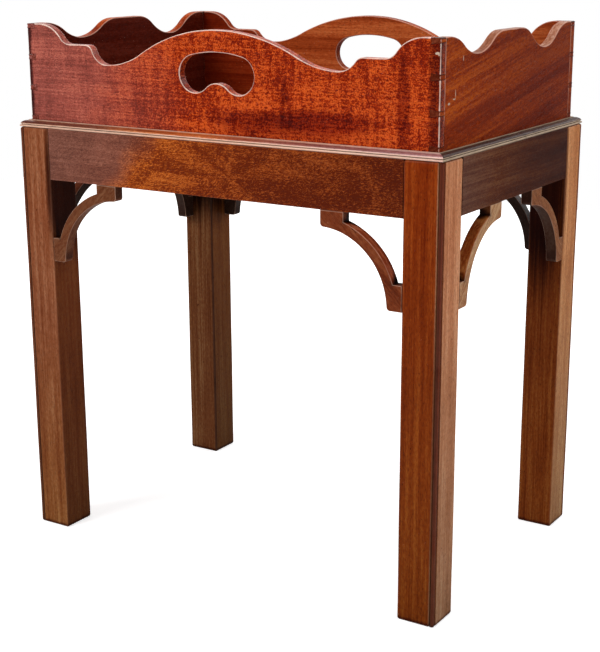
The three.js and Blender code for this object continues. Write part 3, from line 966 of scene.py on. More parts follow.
@dataclass(frozen=True)
class Ageing:
    """What time has laid over every wood, and the painted shade in its inner corners.

    Args:
        end_grain: Colour that end grain has drunk in.
        dirt: Colour of the dirt in joints and of the painted shade in inner corners.
        nick: Colour of fine nicks.
        bruise: Colour of bruises and scratches.
        pore_cover: How much of its colour a pore shows.
        speck_cover: How much of its colour a dark speck shows.
        bloom_and_sheen_spread: How far the veil of dulled polish and painted reflection follows the dark and
            light of the wood.
        shift: How far blotches move a shade, as a share of the span.
        face_turn: Agreement with its direction at which the tone of a face starts, and is full.
        end_turn: The same for end grain.
        stain_and_shade_rag: How ragged a soft patch is, as a share of its reach.
        stain_and_shade_edge: Shares of its reach at which a soft patch ends, and is full.
        bruise_rag: How ragged a bruise is.
        bruise_edge: Shares of its reach at which a bruise ends, and is full.
        uneven: How far the roughness strays.
        rubbed_and_highlight: Roughness that worn places and painted highlights gain.
        pore_height: Height of a pore, as a share of the relief.
        fibre_height: Height of a fibre, as a share of the relief.
    """

    end_grain: str = "2a0f07"
    dirt: str = "120604"
    nick: str = "d9b09a"
    bruise: str = "c4ac98"
    pore_cover: float = 0.45
    speck_cover: float = 0.6
    bloom_and_sheen_spread: float = 0.5
    shift: float = 0.2
    face_turn: Pair = (0.45, 0.85)
    end_turn: Pair = (0.75, 0.95)
    stain_and_shade_rag: float = 0.8
    stain_and_shade_edge: Pair = (1.2, 0.5)
    bruise_rag: float = 1.6
    bruise_edge: Pair = (1.15, 0.75)
    uneven: float = 0.22
    rubbed_and_highlight: float = 0.08
    pore_height: float = -0.5
    fibre_height: float = 0.12


class Workshop:
    """Holds the shared patterns, and makes each material from a wood and a cut."""

    def __init__(self, age: Ageing = Ageing()) -> None:
        """Builds every pattern once.

        Args:
            age: What time has laid over the woods.
        """
        self.age = age
        self.grain = interlocked_grain()
        self.figures = {Figure.FIDDLEBACK: fiddleback(), Figure.FEATHER: feather()}
        self.wear_and_highlight = edge_wear_and_highlight()
        self.use = long_use()

    def _tone(self, graph: Graph, wood: Wood, cut: Cut, grain: bpy.types.NodeOutputs, blotch: Socket,
              place: Socket) -> Socket:
        """Value from 0, dark, to 1, light, of each point of the wood.

        Args:
            graph: Nodes of the material.
            wood: The wood.
            cut: The cut.
            grain: Outputs of the grain.
            blotch: Broad blotches.
            place: Share of the way along the piece.

        Returns:
            The value.
        """
        tone = graph.about_half(grain["Ribbon"], wood.ribbon_depth * 2, 0.5)
        tone = graph.about_half(grain["Fibre"], wood.fibre_depth, tone)
        tone = graph.about_half(blotch, wood.blotch_depth, tone)
        show = graph.about_half(grain["Fleck"], wood.fleck_depth * 2, 0.0)
        if wood.figure is not Figure.STRAIGHT:
            where = grain["Course"]
            if wood.figure is Figure.FEATHER:
                centre = tuple(-a - b for a, b in zip((*cut.centre, 0.0), cut.offset))
                where = graph.plus(where, centre)
            outputs = self.figures[wood.figure].use(graph, Vector=where, Bands=wood.bands)
            for output, weight in zip(outputs, wood.figure_weights):
                show = graph.about_half(output, wood.figure_depth * weight, show)
        if cut.figured:
            show = graph.math("MULTIPLY", show, graph.levels(place, cut.figured))
        return graph.math("ADD", tone, show)

    def _cast(self, graph: Graph, cut: Cut, shade: Socket, place: Socket, tone: Socket) -> Socket:
        """Lays a cut's shades, and its veil of dulled polish and painted reflection, over the wood.

        Args:
            graph: Nodes of the material.
            cut: The cut.
            shade: Colour of the wood.
            place: Share of the way along the piece.
            tone: Value of the wood, dark to light.

        Returns:
            The colour.
        """
        if cut.shades:
            cast = graph.ramp(place, tuple((share, colour(code)) for share, code in cut.shades))
            shade = graph.blend(1.0, shade, cast, "MULTIPLY")
        if cut.bloom_and_sheen:
            bloom_and_sheen_tone = Tone(cut.bloom_and_sheen_colour, self.age.bloom_and_sheen_spread)
            shade = graph.blend(graph.levels(place, cut.bloom_and_sheen), shade, graph.ramp(tone, bloom_and_sheen_tone.stops()))
        return shade

    def polished(self, label: str, wood: Wood, cut: Cut) -> bpy.types.Material:
        """Material of one piece.

        Args:
            label: Name of the piece.
            wood: Its wood.
            cut: How it was sawn.

        Returns:
            The material.
        """
        age = self.age
        material, graph = blank_material(label + "_" + wood.name)
        coordinates = graph.add("ShaderNodeTexCoord").outputs
        mapping = graph.add("ShaderNodeMapping", {"Vector": coordinates["Object"], "Rotation": cut.turn(),
                                                  "Location": cut.offset})
        vector = mapping.outputs[0]
        grain = self.grain.use(graph, Vector=vector, Wander=wood.wander, Ribbons=wood.ribbons)
        use = self.use.use(graph, Vector=vector, Rough=wood.roughness, Spread=age.uneven)
        arris, recess = (graph.add("ShaderNodeAttribute", attribute_name=label).outputs["Fac"]
                         for label in ("arris", "recess"))
        wear_and_highlight = self.wear_and_highlight.use(graph, Vector=vector, Arris=arris, Amount=wood.wear_and_highlight)[0]

        parts = graph.add("ShaderNodeSeparateXYZ", {0: vector}).outputs
        start, stop = (end + cut.offset[0] for end in cut.span)
        across = graph.math("SUBTRACT", parts[1], cut.centre[1] + cut.offset[1])
        along = graph.math("MULTIPLY_ADD", across, -cut.lean, parts[0])
        place = graph.add("ShaderNodeMapRange", {"Value": along, "From Min": start, "From Max": stop})
        place = graph.about_half(use["Blotch"], age.shift, place.outputs[0])
        tone = self._tone(graph, wood, cut, grain, use["Blotch"], place)
        shade = graph.ramp(tone, (cut.tone or wood.tone).stops())
        shade = self._cast(graph, cut, shade, place, tone)
        face_cast = Cut(shades=cut.face_shades)
        # Tones of faces that look one way: mostly painted light and painted shade on lit and shaded sides.
        for way, face_tone in cut.faces:
            facing = graph.facing(coordinates["Normal"], way)
            face_shade = self._cast(graph, face_cast, graph.ramp(tone, face_tone.stops()), place, tone)
            shade = graph.blend(graph.between(facing, *age.face_turn), shade, face_shade)
        # Soft patches: stains, and painted shade on the legs and brackets.
        for where, reach, code in cut.stains_and_shade:
            patch = graph.patch(coordinates["Object"], where, reach, grain["Ribbon"], age.stain_and_shade_rag)
            shade = graph.blend(graph.between(patch, *age.stain_and_shade_edge), shade, colour(code), "MULTIPLY")

        facing = graph.facing(coordinates["Normal"], cut.grain)
        end = graph.between(graph.math("ABSOLUTE", facing), *age.end_turn)
        # End grain, pores, specks, and dirt in joints with painted shade in inner corners.
        for mask, cover, code in ((end, wood.end_dark, age.end_grain),
                                  (grain["Pores"], age.pore_cover, wood.pore),
                                  (use["Specks"], age.speck_cover, wood.pore),
                                  (recess, wood.recess_dirt_and_shade, age.dirt)):
            shade = graph.blend(graph.math("MULTIPLY", mask, cover), shade, colour(code))
        # Worn colour on the arrises, which also paints their highlights.
        shade = graph.blend(wear_and_highlight, shade, colour(wood.worn))
        shade = graph.blend(graph.math("MULTIPLY", use["Nicks"], wood.nicks), shade, colour(age.nick))
        for where, reach in cut.chips:
            patch = graph.patch(coordinates["Object"], where, reach, grain["Fleck"], age.bruise_rag)
            shade = graph.blend(graph.between(patch, *age.bruise_edge), shade, colour(age.bruise))

        height = graph.math("MULTIPLY_ADD", grain["Pores"], age.pore_height, use["Height"])
        height = graph.math("MULTIPLY_ADD", grain["Fibre"], age.fibre_height, height)
        bump = graph.add("ShaderNodeBump", {"Height": height, "Distance": wood.relief, "Strength": 1.0})
        rough = graph.math("MULTIPLY_ADD", wear_and_highlight, age.rubbed_and_highlight, use["Roughness"], clamp=True)
        shader = graph.add("ShaderNodeBsdfPrincipled", {
            "Base Color": shade, "Roughness": rough, "Normal": bump.outputs[0],
            "Specular IOR Level": wood.gloss, "Coat Weight": wood.coat,
            "Coat Roughness": wood.coat_roughness})
        graph.finish(shader)
        return material


TRAY_SHOW = Wood("show_mahogany", Tone("a63009", 1.0, (0.8, 1.2, 1.0), (0.55, 1.2, 1.6)),
                 figure=Figure.FIDDLEBACK, bands=62.0, figure_depth=0.55, figure_weights=(0.6, 0.65, 1.35),
                 ribbon_depth=0.3, fibre_depth=1.2, fleck_depth=0.7, blotch_depth=1.0, worn="f0d2c2",
                 wear_and_highlight=0.85, end_dark=0.2, roughness=0.26, gloss=0.08, coat=0.07, coat_roughness=0.1)
TRAY_END = Wood("streaked_mahogany", Tone("9a3809"), ribbon_depth=1.2, fibre_depth=1.1, fleck_depth=0.6,
                ribbons=55.0, worn="cf9c88", wear_and_highlight=0.7, end_dark=0.2, nicks=0.5, roughness=0.3, gloss=0.015,
                coat=0.03, coat_roughness=0.12)
TRAY_FLOOR = Wood("plain_mahogany", Tone("7c3416"), ribbon_depth=0.9, wear_and_highlight=0.0, roughness=0.4, gloss=0.06,
                  coat=0.06)
APRON_SHOW = Wood("feathered_mahogany", Tone("a34810", 1.0, (0.75, 1.1, 1.2), (0.48, 0.85, 1.4)),
                  figure=Figure.FEATHER, bands=26.0, figure_depth=0.65, figure_weights=(0.9, 1.5, 0.7),
                  ribbon_depth=0.12, fibre_depth=0.9, fleck_depth=0.4, blotch_depth=0.8, worn="a9755c",
                  wear_and_highlight=0.3, roughness=0.4, gloss=0.05, coat=0.04, coat_roughness=0.2)
STAND = Wood("stand_mahogany", Tone("6f371a", 0.8), ribbon_depth=0.7, fibre_depth=1.0, fleck_depth=0.3,
             ribbons=150.0, worn="a07058", wear_and_highlight=0.12, nicks=0.08, roughness=0.45, gloss=0.025, coat=0.02,
             coat_roughness=0.25)
BRACKET = Wood("bracket_mahogany", Tone("75351a", 0.9), ribbon_depth=0.8, fleck_depth=0.4, ribbons=120.0,
               worn="d2a890", wear_and_highlight=0.4, roughness=0.42, gloss=0.04, coat=0.03, coat_roughness=0.25)
MOULDING = Wood("moulding_mahogany", Tone("c46430"), ribbon_depth=1.1, fibre_depth=1.3, fleck_depth=0.3,
                ribbons=260.0, worn="e8bea4", wear_and_highlight=0.8, recess_dirt_and_shade=0.75, roughness=0.24, gloss=0.2,
                coat=0.25, coat_roughness=0.1)
DULL_MOULDING = replace(MOULDING, name="dull_moulding_mahogany", tone=Tone("4a2c1e"), worn="c4aa90",
                        wear_and_highlight=0.85, gloss=0.02, coat=0.02)
PLAIN_MOULDING = replace(MOULDING, name="plain_moulding_mahogany", tone=Tone("7e4226"), worn="b88a72",
                         wear_and_highlight=0.6, gloss=0.08, coat=0.08)


@dataclass
class TrayBoards:
    """The four scalloped sides of the tray, dovetailed at the corners.

    Args:
        length: Length of the tray.
        depth: Its depth.
        height: Height of its sides.
        thickness: Their thickness.
        base: Height of their lower edge above the floor.
        arris: Ease of the arrises.
        tail_arris: Ease inside the dovetails.
        corner_arris: Ease of the tray's upright corners.
        corner_run: Distance from a pin over which that ease begins.
        end_run: Distance from a board's end over which its top's ease ends.
        clearance: Gap in the joints.
        waver: How unevenly the arrises are eased.
        long_drops: Depth of the left and right hollow of the front board.
        step_drop: Depth of its steps.
        long_places: Middle of a hollow, step's start and end, and corner, as shares of half the length.
        hump_share: Part of the fall to a hollow that is the hump's.
        rise_share: Part of a rise that is the hollow's.
        short_drops: Depth of the front and back hollow of the ends.
        short_places: End of the flat, middle of a hollow, and corner, as shares of half the depth.
        fall_share: Part of the fall to a hollow that is the flat's.
        climb_share: Part of the rise to a corner that is the hollow's.
        hole_drop: Depth of the middle of the hand hole's lobes under the top.
        lobe_radius: Radius of the lobes.
        lobe_offset: Distance of their middles from the middle.
        arch_rise: Height of the hole's arch over its lobes.
        sill_rise: Height of its sill over their lowest points.
        half_pin: Width of the pins at the top and bottom.
        pin: Width of the others at the outer face.
        pin_overlap: How far the pins reach into the board that they belong to.
        tails: Number of tails.
        slope: Slope of the dovetails.
    """

    length: float = 610.0
    depth: float = 390.0
    height: float = 126.75
    thickness: float = 12.0
    base: float = 578.5
    arris: float = 1.4
    tail_arris: float = 0.12
    corner_arris: float = 1.2
    corner_run: float = 1.2
    end_run: float = 1.6
    clearance: float = 0.12
    waver: float = 0.16
    long_drops: Pair = (49.0, 42.0)
    step_drop: float = 25.0
    long_places: tuple[float, float, float, float] = (0.565, 0.674, 0.766, 0.928)
    hump_share: float = 0.68
    rise_share: float = 0.7
    short_drops: Pair = (22.5, 27.0)
    short_places: Triple = (0.135, 0.51, 0.882)
    fall_share: float = 0.42
    climb_share: float = 0.47
    hole_drop: float = 54.0
    lobe_radius: float = 23.0
    lobe_offset: float = 32.5
    arch_rise: float = 4.0
    sill_rise: float = 13.0
    half_pin: float = 5.5
    pin: float = 5.0
    pin_overlap: float = 0.4
    tails: int = 3
    slope: float = 0.125

    def _long_top(self, drop: float) -> np.ndarray:
        """Half of the long top from its middle out: a hump, a hollow so deep and a rounded step.

        Args:
            drop: Depth of the hollow.

        Returns:
            The points as rows.
        """
        half, top = self.length / 2, self.height
        valley, inner, outer, corner = (share * half for share in self.long_places)
        return np.vstack([
            swell((0.0, top), valley, -drop, self.hump_share),
            swell((valley, top - drop), inner - valley, drop - self.step_drop, self.rise_share),
            swell((outer, top - self.step_drop), corner - outer, self.step_drop, 1 - self.rise_share)])

    def _short_top(self, drop: float) -> np.ndarray:
        """Half of the short top from its middle out: a flat, a hollow so deep and a rise.

        Args:
            drop: Depth of the hollow.

        Returns:
            The points as rows.
        """
        half, top = self.depth / 2, self.height
        flat, valley, corner = (share * half for share in self.short_places)
        return np.vstack([
            [(0.0, top)],
            swell((flat, top), valley - flat, -drop, self.fall_share),
            swell((valley, top - drop), corner - valley, drop, self.climb_share)])

    def _pins(self) -> list[Pair]:
        """Heights between which each dovetail pin lies at the outer face, the half pins included.

        Returns:
            Lower and upper height of each pin, from the bottom up.
        """
        tail = (self.height - 2 * self.half_pin - (self.tails - 1) * self.pin) / self.tails
        lows = [self.half_pin + tail + i * (tail + self.pin) for i in range(self.tails - 1)]
        inner = [(low, low + self.pin) for low in lows]
        return [(0.0, self.half_pin), *inner, (self.height - self.half_pin, self.height)]

    def _hand_hole(self) -> Outline:
        """Kidney of four arcs: an arch over it, a lobe at each end and a sill that rises under it.

        Returns:
            The outline of the hole.
        """
        radius, offset, lobe = self.lobe_radius, self.lobe_offset, self.height - self.hole_drop
        arch_top, sill_top = radius + self.arch_rise, radius - self.sill_rise
        span = offset ** 2 - radius ** 2
        arch_radius = (span + arch_top ** 2) / (2 * self.arch_rise)
        sill_radius = (span + sill_top ** 2) / (2 * self.sill_rise)
        arch, sill = lobe + arch_top - arch_radius, lobe - sill_top - sill_radius
        arch_lean = math.degrees(math.atan2(offset, lobe - arch))
        sill_lean = math.degrees(math.atan2(offset, lobe - sill))
        ring = np.vstack([
            arc((0, arch), arch_radius, 90 - arch_lean, 90 + arch_lean, 50),
            arc((-offset, lobe), radius, 90 + arch_lean, 270 + sill_lean, 60),
            arc((0, sill), sill_radius, 90 + sill_lean, 90 - sill_lean, 40),
            arc((offset, lobe), radius, -90 - sill_lean, 90 - arch_lean, 60)])
        return Outline(eased(ring[::-1], self.arris), waver=self.waver)

    def _long_outline(self, side: Side) -> Outline:
        """Outline of a long board, with the sockets for the pins cut into its ends.

        The back board is the front one turned about, so its shallower hollow is on the left.

        Args:
            side: Front or back.

        Returns:
            The outline.
        """
        half, top, fit = self.length / 2, self.height, self.clearance
        run, ease = fit + self.corner_run, self.corner_arris
        shoulder = half - self.thickness - fit
        flare = self.slope * self.thickness
        rows = [(shoulder, 0.0, self.tail_arris)]
        for low, high in self._pins():
            if low > 0:
                rows += [(half, low - run, ease), (half, low - fit, self.tail_arris),
                         (shoulder, low - flare - fit, self.tail_arris)]
            if high < top:
                rows += [(shoulder, high + flare + fit, self.tail_arris),
                         (half, high + fit, self.tail_arris), (half, high + run, ease)]
        rows += [(shoulder, top, self.tail_arris), (shoulder - self.end_run, top, self.arris)]
        drops = self.long_drops if side is Side.FRONT else self.long_drops[::-1]
        left, right = (np.vstack([rows, eased(self._long_top(drop)[::-1], self.arris)]) for drop in drops)
        return Outline(np.vstack([right, mirrored(left)]), waver=self.waver)

    def _core_outline(self) -> Outline:
        """Outline of an end board between its shoulders, from the front of the tray to the back.

        Returns:
            The outline.
        """
        shoulder = self.depth / 2 - self.thickness - self.clearance
        post_rows = [(shoulder, 0.0, self.tail_arris), (shoulder, self.height, self.arris)]
        front, back = (np.vstack([post_rows, eased(self._short_top(drop)[::-1], self.arris)])
                       for drop in self.short_drops)
        return Outline(np.vstack([back, mirrored(front)]), waver=self.waver)

    def _pin_shells(self) -> list[Shell]:
        """Pins of one end of an end board: in from its outer face, up, and towards the long board.

        Returns:
            One shell for each pin.
        """
        reach = self.thickness + self.clearance + self.pin_overlap
        flare = self.slope * self.thickness
        inner, top, arris, tight = self.thickness, self.height, self.arris, self.tail_arris
        shells = []
        for low, high in self._pins():
            foot = 0.0 if low == 0 else low - flare
            if high == top:
                rounded = [arc((inner - arris, top - arris), arris, 0, 90, 6),
                           arc((arris, top - arris), arris, 90, 180, 6)]
                rows = np.vstack([[(inner, foot), (inner, top - arris)], *rounded])
            else:
                rows = np.array([(inner, foot), (inner, high + flare), (0.0, high)])
            rows = np.vstack([eased(rows, tight), [(0.0, (low + high) / 2, self.corner_arris),
                                                   (0.0, low, tight)]])
            shells.append(slab([Outline(rows, pitch=1.0)], reach, steps=3, spread=1.3))
        return shells

    def build(self, workshop: Workshop) -> None:
        """Makes the four boards.

        Args:
            workshop: Where their materials are made.
        """
        core = slab([self._core_outline()], self.thickness)
        pins = self._pin_shells()
        cuts = self._cuts()
        for side in (Side.FRONT, Side.BACK):
            turn, origin = side.place(self.depth / 2)
            name = f"tray_{side.word}_board"
            material = workshop.polished(name, TRAY_SHOW if side is Side.FRONT else TRAY_END, cuts[side])
            board = slab([self._long_outline(side), self._hand_hole()], self.thickness)
            shell = board.placed(turn, origin + (0, 0, self.base))
            add_piece(name, [shell], "tray", material)
        for side in (Side.RIGHT, Side.LEFT):
            turn, origin = side.place(self.length / 2)
            name = f"tray_{side.word}_end"
            material = workshop.polished(name, TRAY_END, cuts[side])
            shells = [core.placed(turn, origin + (0, 0, self.base))]
            for end in (-1, 1):
                inward = turn[:, 2]
                frame_of_pin = np.stack([inward, (0, 0, 1), (0, -end, 0)], axis=1)
                start = origin + (0, end * self.depth / 2, self.base)
                shells += [pin.placed(frame_of_pin, start) for pin in pins]
            add_piece(name, shells, "tray", material)

    def _cuts(self) -> dict[Side, Cut]:
        """How each board is sawn, its stains, bruises and scratches, and the painted light, shade and
        reflection on its faces.

        Returns:
            The cut of each side.
        """
        half, end = self.length / 2 * METRE, self.depth / 2 * METRE
        return {
            Side.FRONT: Cut(ALONG_X, (0, -1, 0), (0.3, 1.7, 0.4), (-half, half),
                            faces=(((0, 1, 0), Tone("6a2410")),), bloom_and_sheen_colour="885e5a",
                            # Painted reflection over the left part of the board.
                            bloom_and_sheen=((0.0, 0.5), (0.18, 0.42), (0.3, 0.18), (0.42, 0.0)),
                            figured=((0.0, 0.4), (0.2, 0.5), (0.42, 1.0)),
                            chips=(((0.3005, -0.195, 0.6881), (0.0024, 0.002, 0.0016)),
                                   ((0.3025, -0.195, 0.6865), (0.0012, 0.002, 0.0014))),
                            stains_and_shade=(((0.15, -0.195, 0.6), (0.075, 0.01, 0.02), "bc9088"),
                                    ((0.259, -0.195, 0.62), (0.009, 0.01, 0.07), "c4a49c"),
                                    ((0.099, -0.195, 0.636), (0.005, 0.01, 0.02), "c0a098"),
                                    ((0.06, -0.195, 0.594), (0.08, 0.01, 0.016), "c09c94"),
                                    ((0.299, -0.195, 0.64), (0.009, 0.01, 0.4), "b09c96"),
                                    ((-0.305, -0.195, 0.64), (0.007, 0.01, 0.4), "705c66"))),
            # The inner face is painted darker towards the left corner, as painted shade.
            Side.BACK: Cut(ALONG_X, (0, 1, 0), (2.3, 0.7, 1.9), (-half, half),
                           faces=(((0, -1, 0), Tone("ac4c22", 0.9)),), figured=((0.0, 0.4), (1.0, 0.6)),
                           face_shades=((0.0, "a06a60"), (0.15, "c09084"), (0.3, "ffffff"))),
            # The top edges are painted lighter, as a painted highlight.
            Side.RIGHT: Cut((0.0, 0.98, 0.18), (1, 0, 0), (0.9, 3.3, 0.2), (-end, end),
                            faces=(((0, -1, 0), Tone("6e2a16")), ((0, -0.35, 0.94), Tone("a0664c", 0.9))),
                            shades=((0.4, "ffffff"), (1.0, "cdb8a4")),
                            chips=(((0.305, -0.1382, 0.6796), (0.002, 0.0008, 0.003)),
                                   ((0.305, -0.1564, 0.6407), (0.002, 0.0008, 0.005)),
                                   ((0.305, -0.1600, 0.6350), (0.002, 0.0030, 0.0008)),
                                   ((0.305, -0.1725, 0.631), (0.002, 0.0022, 0.0012)))),
            # The inner face is painted dark, as painted shade.
            Side.LEFT: Cut(ALONG_Y, (-1, 0, 0), (3.9, 1.3, 2.2), (-end, end),
                           faces=(((1, 0, 0), Tone("561a0e", 0.7)), ((0, -1, 0), Tone("8a4438")))),
        }


@dataclass
class StandPart:
    """What every part of the stand is measured from: its overall width and depth."""

    stand_width: float = 634.0
    stand_depth: float = 414.0

    def side(self, side: Side) -> tuple[float, np.ndarray, np.ndarray]:
        """Length of a side, and its frame at its outer face.

        Args:
            side: Side of the stand.

        Returns:
            The length, the matrix of its directions, and its origin.
        """
        sizes = (self.stand_width, self.stand_depth)
        length, across = sizes if side.wide else sizes[::-1]
        return length, *side.place(across / 2)


@dataclass
class Legs(StandPart):
    """Four square legs with a quirked bead down each outer corner.

    Args:
        width: Width of a leg.
        height: Its height.
        bead: Radius of its bead.
        quirk: Width of the groove beside the bead.
        arris: Ease of its other corners.
        foot_ease: Ease of its ends.
        waver: How far its faces stray from straight.
        tones: Tone of each leg, and of its face to the right, which is painted light on the right-hand legs
            and painted shade on the left-hand ones.
        shades: Share of the height, and the colour that multiplies the wood there.
        side_painted_shade: The same for the face to the right: painted shade that darkens it towards the
            foot.
        smoke: Painted shade near the tops of three legs, and a dark line down a corner: place, reach, colour.
        bead_reach: Reach of the painted shade along the beads in metres.
        bead_shade: Its colour.
        near_bead_shade: Its colour on the leg nearest to the camera.
        sole_reach: Reach of the painted shade at the foot in metres.
        sole_shade: Its colour.
    """

    width: float = 50.0
    height: float = 570.0
    bead: float = 2.6
    quirk: float = 1.6
    arris: float = 1.5
    foot_ease: float = 3.2
    waver: float = 0.25
    tones: dict[str, tuple[str, str]] = field(default_factory=lambda: {
        "leg_front_left": ("874d2f", "773a1a"), "leg_front_right": ("7e340c", "cb845b"),
        "leg_back_left": ("6c3e21", "79431f"), "leg_back_right": ("72330f", "cc8553")})
    shades: dict[str, tuple[tuple[float, str], ...]] = field(default_factory=lambda: {
        "leg_front_left": ((0.0, "f8ffd7"), (0.55, "f9f4f6"), (1.0, "fff4f0")),
        "leg_front_right": ((0.0, "e9ffff"), (0.5, "f4f0e8"), (1.0, "ffdcc0")),
        "leg_back_left": ((0.0, "f0f0f0"), (1.0, "f8f8f8")),
        "leg_back_right": ((0.0, "f0f8f8"), (0.6, "ffffff"))})
    # Painted shade near the tops of the legs, under the tray and the brackets.
    smoke: dict[str, tuple[tuple[Triple, Triple, str], ...]] = field(default_factory=lambda: {
        "leg_back_right": (((0.285, 0.157, 0.5), (0.045, 0.01, 0.17), "685048"),),
        "leg_back_left": (((-0.267, 0.157, 0.25), (0.0028, 0.0028, 4.0), "786458"),
                          ((-0.285, 0.157, 0.47), (0.05, 0.008, 0.09), "54443a"),
                          ((-0.267, 0.175, 0.47), (0.008, 0.05, 0.09), "54443a")),
        "leg_front_left": (((-0.267, -0.18, 0.49), (0.01, 0.07, 0.11), "705a50"),)})
    side_painted_shade: tuple[tuple[float, str], ...] = ((0.0, "c0d1d7"), (0.8, "ffffff"))
    # Painted shade along the beads and at the feet.
    bead_reach: Triple = (0.006, 0.006, 4.0)
    bead_shade: str = "b89c94"
    near_bead_shade: str = "946460"
    sole_reach: Triple = (9.0, 9.0, 0.006)
    sole_shade: str = "9c8070"

    def _section(self) -> Outline:
        """Section of a leg with its outer corner at the origin: two quirks beside a round bead.

        Returns:
            The section.
        """
        bead, width, arris = self.bead, self.width, self.arris
        edge = 2 * bead + self.quirk
        rows = np.vstack([
            [(0.0, edge)],
            arc((bead, bead), bead, 90, 360, 30),
            [(edge, 0.0)],
            arc((width - arris, arris), arris, -90, 0, 6),
            arc((width - arris, width - arris), arris, 0, 90, 6),
            arc((arris, width - arris), arris, 90, 180, 6)])
        return Outline(eased(rows, 0.0), pitch=2.0)

    def build(self, workshop: Workshop) -> None:
        """Makes the four legs.

        Args:
            workshop: Where their materials are made.
        """
        middle = (self.width / 2, self.width / 2)
        shell = post(self._section(), self.height, self.foot_ease, middle, self.waver)
        for name, (tone, side_light_and_shade) in self.tones.items():
            x, y = (1 if "right" in name else -1), (1 if "back" in name else -1)
            corner = (x * self.stand_width / 2, y * self.stand_depth / 2, 0.0)
            # The bead and the foot get painted shade, and the face to the right its painted light and shade.
            bead_shade = self.near_bead_shade if x > 0 > y else self.bead_shade
            stains_and_shade = ((tuple(part * METRE for part in corner), self.bead_reach, bead_shade),
                      ((0.0, 0.0, 0.0), self.sole_reach, self.sole_shade))
            cut = Cut(UPWARDS, (0, -1, 0), (0.4 + x, 0.9 * y, 0.31 * x * y), (0, self.height * METRE),
                      Tone(tone, 0.9), self.shades[name], ((ALONG_X, Tone(side_light_and_shade, 0.6)),),
                      self.side_painted_shade, stains_and_shade=stains_and_shade + self.smoke.get(name, ()))
            material = workshop.polished(name, STAND, cut)
            leg = shell.placed(np.diag([-x, -y, 1.0]), np.array(corner))
            add_piece(name, [leg], "stand", material)


@dataclass
class Aprons(StandPart):
    """The rails between the legs.

    Args:
        leg_width: Width of a leg.
        height: Height of a rail.
        thickness: Its thickness.
        bottom: Height of its lower edge above the floor.
        clearance: Gap between it and a leg.
        arris: Ease of its long arrises.
        end_arris: Ease at its ends.
        end_run: Distance from an end over which the one becomes the other.
        waver: How unevenly the arrises are eased.
    """

    leg_width: float = 50.0
    height: float = 68.0
    thickness: float = 22.0
    bottom: float = 502.0
    clearance: float = 0.12
    arris: float = 0.6
    end_arris: float = 0.28
    end_run: float = 1.5
    waver: float = 0.2

    def build(self, workshop: Workshop) -> None:
        """Makes the four rails.

        Args:
            workshop: Where their materials are made.
        """
        cuts = self._cuts()
        for side in Side:
            length, turn, origin = self.side(side)
            half = length / 2 - self.leg_width - self.clearance
            inner = half - self.end_run
            edge = np.array([(inner, 0.0, self.arris), (half, 0.0, self.end_arris),
                             (half, self.height, self.end_arris), (inner, self.height, self.arris)])
            outline = Outline(np.vstack([edge, mirrored(edge)]), pitch=6.0, waver=self.waver)
            shell = slab([outline], self.thickness, steps=4).placed(turn, origin + (0, 0, self.bottom))
            name = "apron_" + side.word
            wood = APRON_SHOW if side is Side.FRONT else STAND
            material = workshop.polished(name, wood, cuts[side])
            add_piece(name, [shell], "stand", material)

    def _cuts(self) -> dict[Side, Cut]:
        """How each rail is sawn.

        Returns:
            The cut of each side.
        """
        half = (self.stand_width / 2 - self.leg_width) * METRE
        end = (self.stand_depth / 2 - self.leg_width) * METRE
        return {
            Side.FRONT: Cut(ALONG_X, (0, -1, 0), (0.0, 0.0, 0.0), (-half, half),
                            shades=((0.0, "c0c0c0"), (0.2, "d0c8c0"), (0.3, "ffffff"), (0.48, "e4d8dc"),
                                    (0.68, "cabac8"), (1.0, "b9aabc")),
                            bloom_and_sheen=((0.0, 0.5), (0.2, 0.42), (0.3, 0.0)), bloom_and_sheen_colour="86625a",
                            figured=((0.0, 0.45), (0.2, 0.5), (0.33, 1.0)), centre=(0.031, 0.525),
                            lean=0.57),
            Side.BACK: Cut(ALONG_X, (0, 1, 0), (1.1, 2.9, 0.8), (-half, half)),
            Side.RIGHT: Cut(ALONG_Y, (1, 0, 0), (2.1, 0.3, 1.7), (-end, end), Tone("602c12", 1.2),
                            ((0.0, "f4f8ff"), (0.25, "f8fcff"), (0.6, "c8b4a4"), (1.0, "a88870")),
                            bloom_and_sheen=((0.0, 0.3), (0.3, 0.0)), bloom_and_sheen_colour="7c5c50"),
            Side.LEFT: Cut(ALONG_Y, (-1, 0, 0), (0.2, 2.3, 3.1), (-end, end)),
        }


